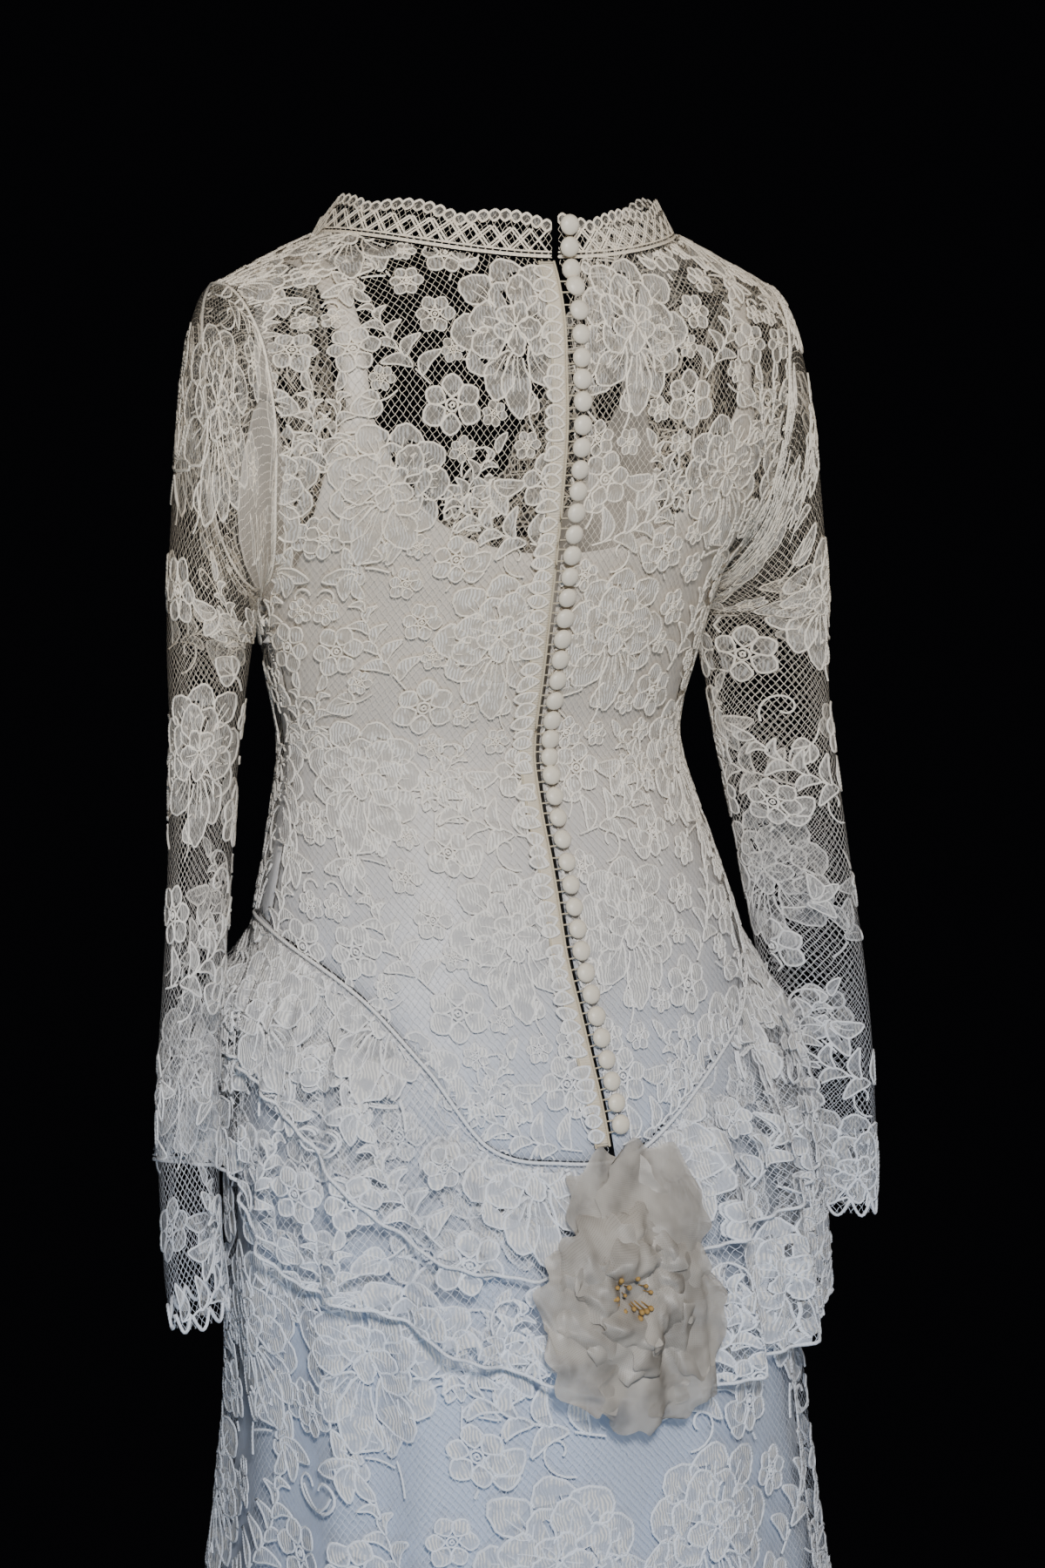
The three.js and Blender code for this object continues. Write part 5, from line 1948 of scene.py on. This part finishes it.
@dataclass
class Lining:
    """The satin under-dress: scooped bodice, straps and skirt."""

    wall: float = 1.0
    inset: float = 1.5
    lift: float = 1.6
    seam: float = 0.4
    rows: int = 40
    columns: int = 36
    strap_start: float = -92
    strap: tuple[float, float] = (0.722, 0.8)

    def sheet(self, name: str, points: Array, size: tuple[float, float], area: float, held: str) -> None:
        """Make one satin piece with its wall.

        Args:
            name: the construction node that it stands for.
            points: its grid.
            size: width and length of the flat cut, in metres; not used.
            area: its flat area, in square metres; not used.
            held: how the sheet is held; not used.
        """
        cloth = Cloth()
        cloth.grid(points)
        cloth.face(points * [1, 1, 0] + [0, 0, self.lift])
        obj = cloth.build(name + "_satin", Finish.SATIN)
        weld(obj)
        thicken(obj, self.wall)
        settle(obj, (name,))

    def bodice(self, name: str, side: int) -> None:
        """Build a bodice piece.

        Args:
            name: the construction node that it stands for.
            side: 1 for the wearer's left back, -1 for the right back, 0 for the front.
        """
        column = "back" if side else "front"

        def ends(angle: Array) -> tuple[Array, Array]:
            """Lowest and highest levels."""
            share = np.abs(np.sin(np.radians(angle)))
            return FORM.seam_level(angle) + self.lift, FORM.lining_edge.curve(column, share)

        angle, level = FORM.panel(side, self.columns, self.rows, self.inset, ends)
        points = FORM.bodice(angle, level, LINING_OUT)
        points[..., 1] += self.seam * (1 if side else -1)
        size = ((0.24, 0.42), 0.068) if side else ((0.46, 0.40), 0.098)
        self.sheet(name, points, *size, "stretched")

    def straps(self, name: str, side: int) -> None:
        """Build one shoulder strap.

        Args:
            name: the construction node that it stands for.
            side: 1 for the wearer's left, -1 for the right.
        """
        levels = np.linspace(self.strap_start + 0.4, FORM.shoulder, 16)
        away = np.degrees(np.arcsin(np.linspace(*self.strap, 5)))
        back = FORM.bodice(side * away[None, :], levels[:, None], LINING_OUT)
        front = FORM.bodice(side * (180 - away)[None, :], levels[::-1][:, None], LINING_OUT)
        self.sheet(name, np.concatenate([back, front[1:]]), (0.022, 0.34), 0.0045, "stretched")

    def build(self) -> None:
        """Build all the satin."""
        self.bodice("lining_back_left", 1)
        self.bodice("lining_back_right", -1)
        self.bodice("lining_front", 0)
        self.straps("strap_left", 1)
        self.straps("strap_right", -1)
        chart = HangingChart(Layer.LINING, hem=-1418, base=0.2)
        points, _ = chart.net(144, 40, 1.2)
        self.sheet("skirt_lining", points, (2.0, 1.02), 1.33, "hung")


@dataclass
class CollarChart:
    """Lays the flat edging round the neck, standing on its seam."""

    gap: float = 0.6
    step: float = 2.0
    inward: float = 0.6

    def __post_init__(self) -> None:
        """Walk round the neck edge, from the wearer's left back to the right back."""
        halves = zip(self.side(1), self.side(-1))
        edge, lean = (np.concatenate([left, right[::-1][1:]]) for left, right in halves)
        walk = walked(edge)
        self.length = walk[-1]
        self.at = np.linspace(0, self.length, int(self.length / self.step) + 1)
        self.edge = along(self.at, walk, edge)
        self.lean = unit(along(self.at, walk, lean))
        self.normal = unit(np.cross(np.gradient(self.edge, axis=0), self.lean))

    def side(self, side: int) -> tuple[Array, Array]:
        """Walk along one half of the neck edge, from back to front.

        Args:
            side: 1 for the wearer's left, -1 for the right.

        Returns:
            Points, and the directions in which the edging stands.
        """
        first, neck = (math.degrees(math.asin(x / FORM.shoulder_half))
                       for x in (FORM.back_edge(side), FORM.neck_half))
        middle = LACE_OUT + 0.15
        back = side * np.linspace(first, neck, 60)
        edge_back = FORM.bodice(back, FORM.top(back), middle)
        inward = -self.inward * edge_back[:, 0] / FORM.neck_half
        lean_back = np.stack([inward, np.full(60, -0.1), np.ones(60)], -1)
        front = side * np.linspace(180 - neck, 179.95, 80)
        level = FORM.top(front)
        edge_front = FORM.bodice(front, level, middle)
        upward = unit(edge_front - FORM.bodice(front, level - 4, middle))
        wide = np.abs(edge_front[:, :1]) / FORM.neck_half
        lean = unit(upward * (1 - 0.6 * wide) + wide * np.array([[-side, 0.0, 0.0]]))
        stand = unit(np.array([[-side * self.inward, -0.1, 1.0]]))
        share = np.clip(1 - 2.5 * np.linspace(0, 1, 80), 0, 1)[:, None]
        lean = unit(lean * (1 - share) + stand * share)
        return np.concatenate([edge_back, edge_front[1:]]), np.concatenate([unit(lean_back), lean[1:]])

    def place(self, u: Array, v: Array, lift: Array) -> Array:
        """Points of the form for points of the flat edging."""
        edge, lean, normal = (along(u, self.at, rows) for rows in (self.edge, self.lean, self.normal))
        return edge + lean * (v + self.gap)[..., None] + normal * np.asarray(lift)[..., None]


@dataclass
class Collar:
    """The scalloped edging: an openwork of diamonds between two cords, and small fans along its top."""

    foot: float = 1.2
    waist: float = 17.0
    top: float = 20.5
    swell: float = 5.5
    scallop: float = 62.0
    pitch: float = 13.0
    fan: float = 7.2
    pair: float = 2.6

    def rim(self, u: Array) -> Array:
        """Height of the edging's top at a distance along it."""
        return self.top + self.swell * np.abs(np.sin(math.pi * u / self.scallop))

    def drawing(self, length: float) -> Motif:
        """Draw the whole edging flat.

        Args:
            length: of the edging.

        Returns:
            The drawing.
        """
        motif = Motif()
        u = np.linspace(0, length, int(length / 3))
        low = self.foot + self.pair
        for v, thin in ((self.foot, 1.3), (low, 0.7)):
            motif.cord(np.stack([u, np.full(u.shape, v)], -1), 0.3, thin=thin)
        motif.cord(np.stack([u, self.rim(u) - 3.5], -1), 0.3)
        for k in range(-1, int(length / self.pitch) + 1):
            for start, end in ((0, self.pitch), (self.pitch, 0)):
                for aside in (0.0, self.pair):
                    x = k * self.pitch + aside
                    line = np.linspace((x + start, low), (x + end, self.waist), 5)
                    if line[:, 0].min() > 0 and line[:, 0].max() < length:
                        motif.cord(line, 0.3, thin=0.75)
        count = int(length / self.fan)
        for k in range(count):
            x = (k + 0.5) * length / count
            motif.petal((x, self.rim(x) - 5.5), 0, 6.8, 7.4, 0.35, 1.1)
        return motif

    def build(self) -> None:
        """Build the edging's net and its work."""
        chart = CollarChart()
        u = np.linspace(0, chart.length, 361)[None, :]
        v = np.linspace(0, 1, 7)[:, None] * (self.rim(u) - 1.5)
        u = np.broadcast_to(u, v.shape)
        cloth = Cloth()
        place = chart.place(u, v, np.zeros(v.shape))
        cloth.grid(place, np.stack([u, v], -1))
        cloth.face(chart.place(u, v, np.ones(v.shape)) - place)
        net = settle(cloth.build("collar_net", Finish.NET), ("collar",))
        drawing = self.drawing(chart.length).joined()
        work = settle(worked("collar_work", chart, *drawing, OPEN_LACE))


BACKWARD = np.array([0.0, 1.0, 0.0])


@dataclass
class Fastening:
    """Covered buttons, the looped tape and its thread loops."""

    count: int = 43
    top: float = 17
    end: float = -531
    neck: float = -10
    radius: float = 6.1
    height: float = 6.2
    seat: float = 5.6
    tape: tuple[float, float] = (9, 18.5)
    tape_out: float = 6.4
    tape_rows: int = 150

    def spot(self, height: float, away: float, out: float) -> Array:
        """A point near the opening.

        Args:
            height: its height.
            away: distance from the buttons' line towards the wearer's left.
            out: distance out from the form.

        Returns:
            The point, in millimetres.
        """
        x = float(FORM.opening.curve("shift", height)) + away
        level = height
        if height > FORM.cap_start:
            share = (height - FORM.cap_start) / (float(FORM.ridge(x)) - FORM.cap_start)
            level = FORM.cap_start + FORM.cap_reach * math.asin(min(share, 1)) * 2 / math.pi
        angle = math.degrees(math.asin(x / float(FORM.sections.curve("edge", level))))
        return FORM.bodice(np.array(angle), np.array(level), np.array(out))

    def frames(self) -> tuple[Array, Array, Array]:
        """Seats, outward directions and upward directions of the buttons."""
        seats, aims, ups = [], [], []
        for height in np.linspace(self.top, self.end, self.count):
            seat = self.spot(min(height, self.neck + 4), 0, self.seat)
            above, below = (self.spot(min(height, self.neck) + step, 0, self.seat) for step in (3, -3))
            up = unit(above - below)
            if height > self.neck:
                seat[2] = height
                seat[1] += 1.6
                up = np.array([0.0, 0.0, 1.0])
            seats.append(seat)
            ups.append(up)
            aims.append(unit(np.cross(up, np.array([-1.0, 0.0, 0.0]))))
        aims = np.array(aims)
        aims[aims[:, 1] < 0] *= -1
        return np.array(seats), aims, np.array(ups)

    def template(self) -> bpy.types.Object:
        """One button: a dome with a rounded rim on a short neck."""
        return turned("button_template", Finish.BUTTON, 20, (0, 0), (2.4, 0), (2.6, 1.4), (5.2, 1.6),
                      (6, 2.3), (6.1, 3), (5.6, 4.1), (4.4, 5.2), (2.6, 5.95), (1, 6.2), (0, 6.2))

    def loop(self) -> bpy.types.Object:
        """One thread loop, from the tape round the button's neck."""
        t = np.linspace(0, 1, 14)
        x = 9.5 - 12.5 * np.sin(math.pi * t) ** 0.6
        y = 3.6 * np.cos(math.pi * t)
        z = 0.9 + 0.8 * np.sin(math.pi * t)
        return edging("loop_template", np.stack([x, y, z], -1), 0.55, False, Finish.THREAD, 5)

    def build(self) -> None:
        """Build the buttons, the tape and the loops."""
        seats, aims, ups = self.frames()
        buttons = Scatter("buttons", self.template(), Finish.BUTTON, 0.03, 3).build(seats, aims, ups)
        settle(buttons, [f"button_{k + 1:02d}" for k in range(self.count)])
        keep = seats[:, 2] < self.neck
        across = np.where(np.cross(ups, aims)[:, :1] > 0, 1.0, -1.0)
        loops = Scatter("thread_loops", self.loop(), Finish.THREAD, 0.04, 8)
        loops = settle(loops.build(seats[keep], aims[keep], (ups * across)[keep]))
        heights = np.linspace(self.neck + 2, self.end - 12, self.tape_rows)
        edges = np.linspace(self.tape[0] + 0.2, self.tape[1], 5)
        points = np.array([[self.spot(h, away, self.tape_out) for away in edges] for h in heights])
        walk = walked(points[:, 2])
        cloth = Cloth()
        cloth.grid(points, np.stack(np.broadcast_arrays(edges[None, :], walk[:, None]), -1))
        cloth.face(np.broadcast_to(BACKWARD, points.shape))
        tape = cloth.build("placket_tape", Finish.TAPE)
        thicken(tape, 1.0)
        settle(tape, ("loop_placket",))
        for k, index in enumerate((0, -1)):
            line = points[:, index] + 0.4 * BACKWARD
            edging(f"placket_rim_{k + 1}", line, 0.8, False, Finish.THREAD)
        self.trim(points)

    def trim(self, points: Array) -> bpy.types.Object:
        """Sew a row of small lace leaves over the tape's far edge.

        Args:
            points: the tape's grid, down by across.

        Returns:
            The row of leaves.
        """
        walk = walked(points[:, -1])
        motif = Motif()
        rng = np.random.default_rng(6)
        for v in np.arange(6, walk[-1] - 4, 8.5):
            turn, length = rng.uniform(60, 105), rng.uniform(10, 15)
            motif.petal((-6.5, v), turn, length, 8, 0.6, 1.1, rng.uniform(-2, 2))
        flat, quads, kinds = motif.joined()
        edge, first = (along(flat[:, 1], walk, points[:, column]) for column in (-1, 0))
        stand = flat[:, 2:] + 0.4 - 0.14 * flat[:, :1]
        placed = edge + unit(edge - first) * flat[:, :1] + BACKWARD * stand
        cloth = Cloth()
        cloth.add(placed, quads, flat[:, :2], kinds)
        cloth.face(np.broadcast_to(BACKWARD, placed.shape), whole=False)
        return settle(cloth.build("placket_leaves", *LACE))


@dataclass
class Flower:
    """A crumpled organza flower with ochre stamens."""

    centre: tuple[float, float] = (0, -640)
    heart: tuple[float, float] = (6, -620)
    stamens: int = 26
    seed: int = 4

    def wall(self, x: Array, z: Array) -> Array:
        """Where the peplum's surface lies behind the flower.

        Args:
            x: places across.
            z: heights.

        Returns:
            The y of the surface behind each place.
        """
        chart = HangingChart(Layer.UPPER_TIER)
        angles = np.linspace(-50, 50, 101)
        result = []
        for across, height in zip(x.ravel(), z.ravel()):
            line = chart.point(angles, np.full(angles.shape, max(height, -690.0)), 0.0)
            result.append(line[np.abs(line[:, 0] - across) < 9, 1].max())
        return np.reshape(result, x.shape)

    def petal(self, cloth: Cloth, rng: np.random.Generator, turn: float, length: float, width: float,
              rise: float, start: float, centre: tuple[float, float]) -> None:
        """Add one crumpled petal.

        Args:
            cloth: where it is added.
            rng: gives the small differences.
            turn: its direction in degrees, 0 pointing up and positive towards the wearer's left.
            length: from base to tip.
            width: across its widest place.
            rise: how far its tip stands off the peplum.
            start: distance of its base from the centre.
            centre: where the petals of its ring meet.
        """
        s = np.linspace(0, 1, 22)[:, None]
        a = np.linspace(-1, 1, 17)[None, :]
        half = width / 2 * (0.3 + 0.7 * smooth(s * 1.7)) * (1 - 0.3 * s**6)
        half = half * (1 + 0.08 * np.sin(7 * s * math.pi + rng.uniform(0, 6)))
        x = a * half
        edge = 1 - 0.13 * a * a + 0.05 * np.cos(a * 6 + rng.uniform(0, 6))
        y = start + length * s * (1 - s + s * edge)
        phase = rng.uniform(0, 6, 4)
        crumple = 3.0 * np.sin(a * 4.2 + phase[0] + 2.5 * s) * s
        crumple = crumple + 1.3 * np.sin(a * 10 + 8 * s + phase[1]) * s
        crumple = crumple + np.sin(13 * s + 4 * a + phase[2]) + 2.4 * a * a * np.sin(4 * s + phase[3])
        angle = math.radians(turn)
        world_x = centre[0] + x * math.cos(angle) + y * math.sin(angle)
        world_z = centre[1] - x * math.sin(angle) + y * math.cos(angle)
        stand = 4 + rise * np.sin(math.pi * np.clip(s * 0.85, 0, 1)) ** 0.8 + crumple
        back = self.wall(world_x, world_z)
        points = np.stack([world_x, back + np.maximum(stand, 1.5), world_z], -1)
        cloth.grid(points, np.stack([x + turn, y], -1))
        cloth.face(np.broadcast_to(BACKWARD, points.shape))

    def build(self) -> None:
        """Build petals, stamens and the piece that rises to the last button."""
        rng = np.random.default_rng(self.seed)
        cloth = Cloth()
        for count, length, width, rise, start, first, centre in (
            (7, 64, 66, 11, 4, 12, self.centre),
            (6, 50, 54, 17, 3, 38, self.heart),
            (5, 33, 38, 22, 2, 5, self.heart),
        ):
            for k in range(count):
                turn = first + 360 * k / count + rng.uniform(-8, 8)
                long, high = length * rng.uniform(0.88, 1.08), rise * rng.uniform(0.8, 1.15)
                self.petal(cloth, rng, turn, long, width, high, start, centre)
        self.petal(cloth, rng, -19, 98, 78, 12, 6, self.centre)
        self.petal(cloth, rng, 2, 92, 70, 8, 6, self.centre)
        petals = cloth.build("flower_petals", Finish.ORGANZA)
        settle(petals, ("flower",))
        turns, tilts = rng.uniform(0, 2 * math.pi, self.stamens), rng.uniform(0.05, 0.75, self.stamens)
        cos, sin = np.cos(turns), np.sin(turns)
        aims = np.stack([np.sin(tilts) * cos, np.cos(tilts), np.sin(tilts) * sin], -1)
        x, z = self.heart[0] + 5 * cos, self.heart[1] + 5 * sin
        spots = np.stack([x, self.wall(x, z) + 6, z], -1)
        stamens = Scatter("stamens", self.stamen(), Finish.STAMEN, 0.2, 9)
        ups = np.tile([0.0, 0.0, 1.0], (self.stamens, 1))
        stamens = settle(stamens.build(spots, aims, ups))

    def stamen(self) -> bpy.types.Object:
        """One stamen: a thin stalk with a bead."""
        return turned("stamen_template", Finish.STAMEN, 6, (0.0, 0.0), (0.45, 0.0), (0.4, 8), (0.4, 15),
                      (1.3, 15.8), (1.6, 17.2), (1.2, 18.6), (0.0, 19.2))


@dataclass(frozen=True)
class Studio:
    """Floor, lights and camera, at the photograph's angle."""

    turn: float = 27.0
    distance: float = 1850.0
    pitch: float = 10.2
    camera_level: float = -5.0
    aside: float = -16.4
    lens: float = 66.6
    floor_level: float = -1432.0
    floor_rings: tuple[float, ...] = (1, 300, 700, 1100)
    lamps: tuple[tuple, ...] = (
        ("key", (0.8, 1.9, 0.5), (0, 0.05, -0.42), 0.26, 42, (1.0, 0.98, 0.96)),
        ("side", (-1.9, 0.5, 0.2), (0, 0, -0.4), 0.5, 4, (1.0, 0.93, 0.84)),
        ("top", (-0.5, 0.9, 1.4), (0, 0.05, -0.1), 0.5, 4, (1.0, 0.93, 0.84)),
        ("low", (0.9, 1.9, -0.9), (0, 0, -0.6), 0.9, 9, (0.5, 0.72, 1.0)),
        ("front", (-0.8, -2.4, 0.0), (0, 0, -0.9), 1.4, 2, (1.0, 0.98, 0.95)),
    )

    def floor(self) -> None:
        """Lay a round pale floor under the hem."""
        turn = np.linspace(0, 2 * math.pi, 65)
        radii = np.array(self.floor_rings, float)[:, None]
        cloth = Cloth()
        rings = np.broadcast_arrays(radii * np.cos(turn), radii * np.sin(turn), self.floor_level)
        cloth.grid(np.stack(rings, -1)[:, ::-1])
        cloth.build("floor", Finish.FLOOR)

    def light(self, name: str, place: Sequence[float], aim: Sequence[float], size: float, power: float,
              tint: Sequence[float]) -> None:
        """Hang one soft lamp.

        Args:
            name: its name.
            place: where it hangs, in metres.
            aim: what it points at, in metres.
            size: its side, in metres.
            power: in watts.
            tint: its colour.
        """
        lamp = bpy.data.lights.new(name, "AREA")
        lamp.size = size
        lamp.energy = power
        lamp.color = tint
        self.aimed(bpy.data.objects.new(name, lamp), Vector(place), Vector(aim) - Vector(place))

    def aimed(self, obj: bpy.types.Object, place: Vector, ahead: Vector) -> bpy.types.Object:
        """Set a lamp or the camera in its place.

        Args:
            obj: the lamp or camera.
            place: where it stands, in metres.
            ahead: where it looks.

        Returns:
            The same object.
        """
        obj.location = place
        obj.rotation_mode = "QUATERNION"
        obj.rotation_quaternion = ahead.to_track_quat("-Z", "Y")
        return linked(obj)

    def build(self) -> None:
        """Set up floor, lights, world and camera."""
        self.floor()
        for lamp in self.lamps:
            self.light(*lamp)
        world = bpy.data.worlds.new("studio")
        world.use_nodes = True
        world.node_tree.nodes["Background"].inputs[0].default_value = (0.002, 0.002, 0.0025, 1)
        bpy.context.scene.world = world
        angle, pitch = math.radians(self.turn), math.radians(self.pitch)
        toward = Vector((math.sin(angle), math.cos(angle), 0))
        right = Vector((-math.cos(angle), math.sin(angle), 0))
        camera = bpy.data.cameras.new("camera")
        camera.lens = self.lens
        camera.sensor_width = 36
        place = (toward * self.distance - right * self.aside + Vector((0, 0, self.camera_level))) * MM
        ahead = -toward * math.cos(pitch) + Vector((0, 0, -math.sin(pitch)))
        bpy.context.scene.camera = self.aimed(bpy.data.objects.new("camera", camera), place, ahead)


def main() -> None:
    for part in (Lining, Bodice, Sleeves, Skirt, Peplum, Collar, Fastening, Flower, Studio):
        LOG.info("building %s", part.__name__)
        part().build()


if __name__ == "__main__":
    logging.basicConfig(level=logging.INFO)
    main()
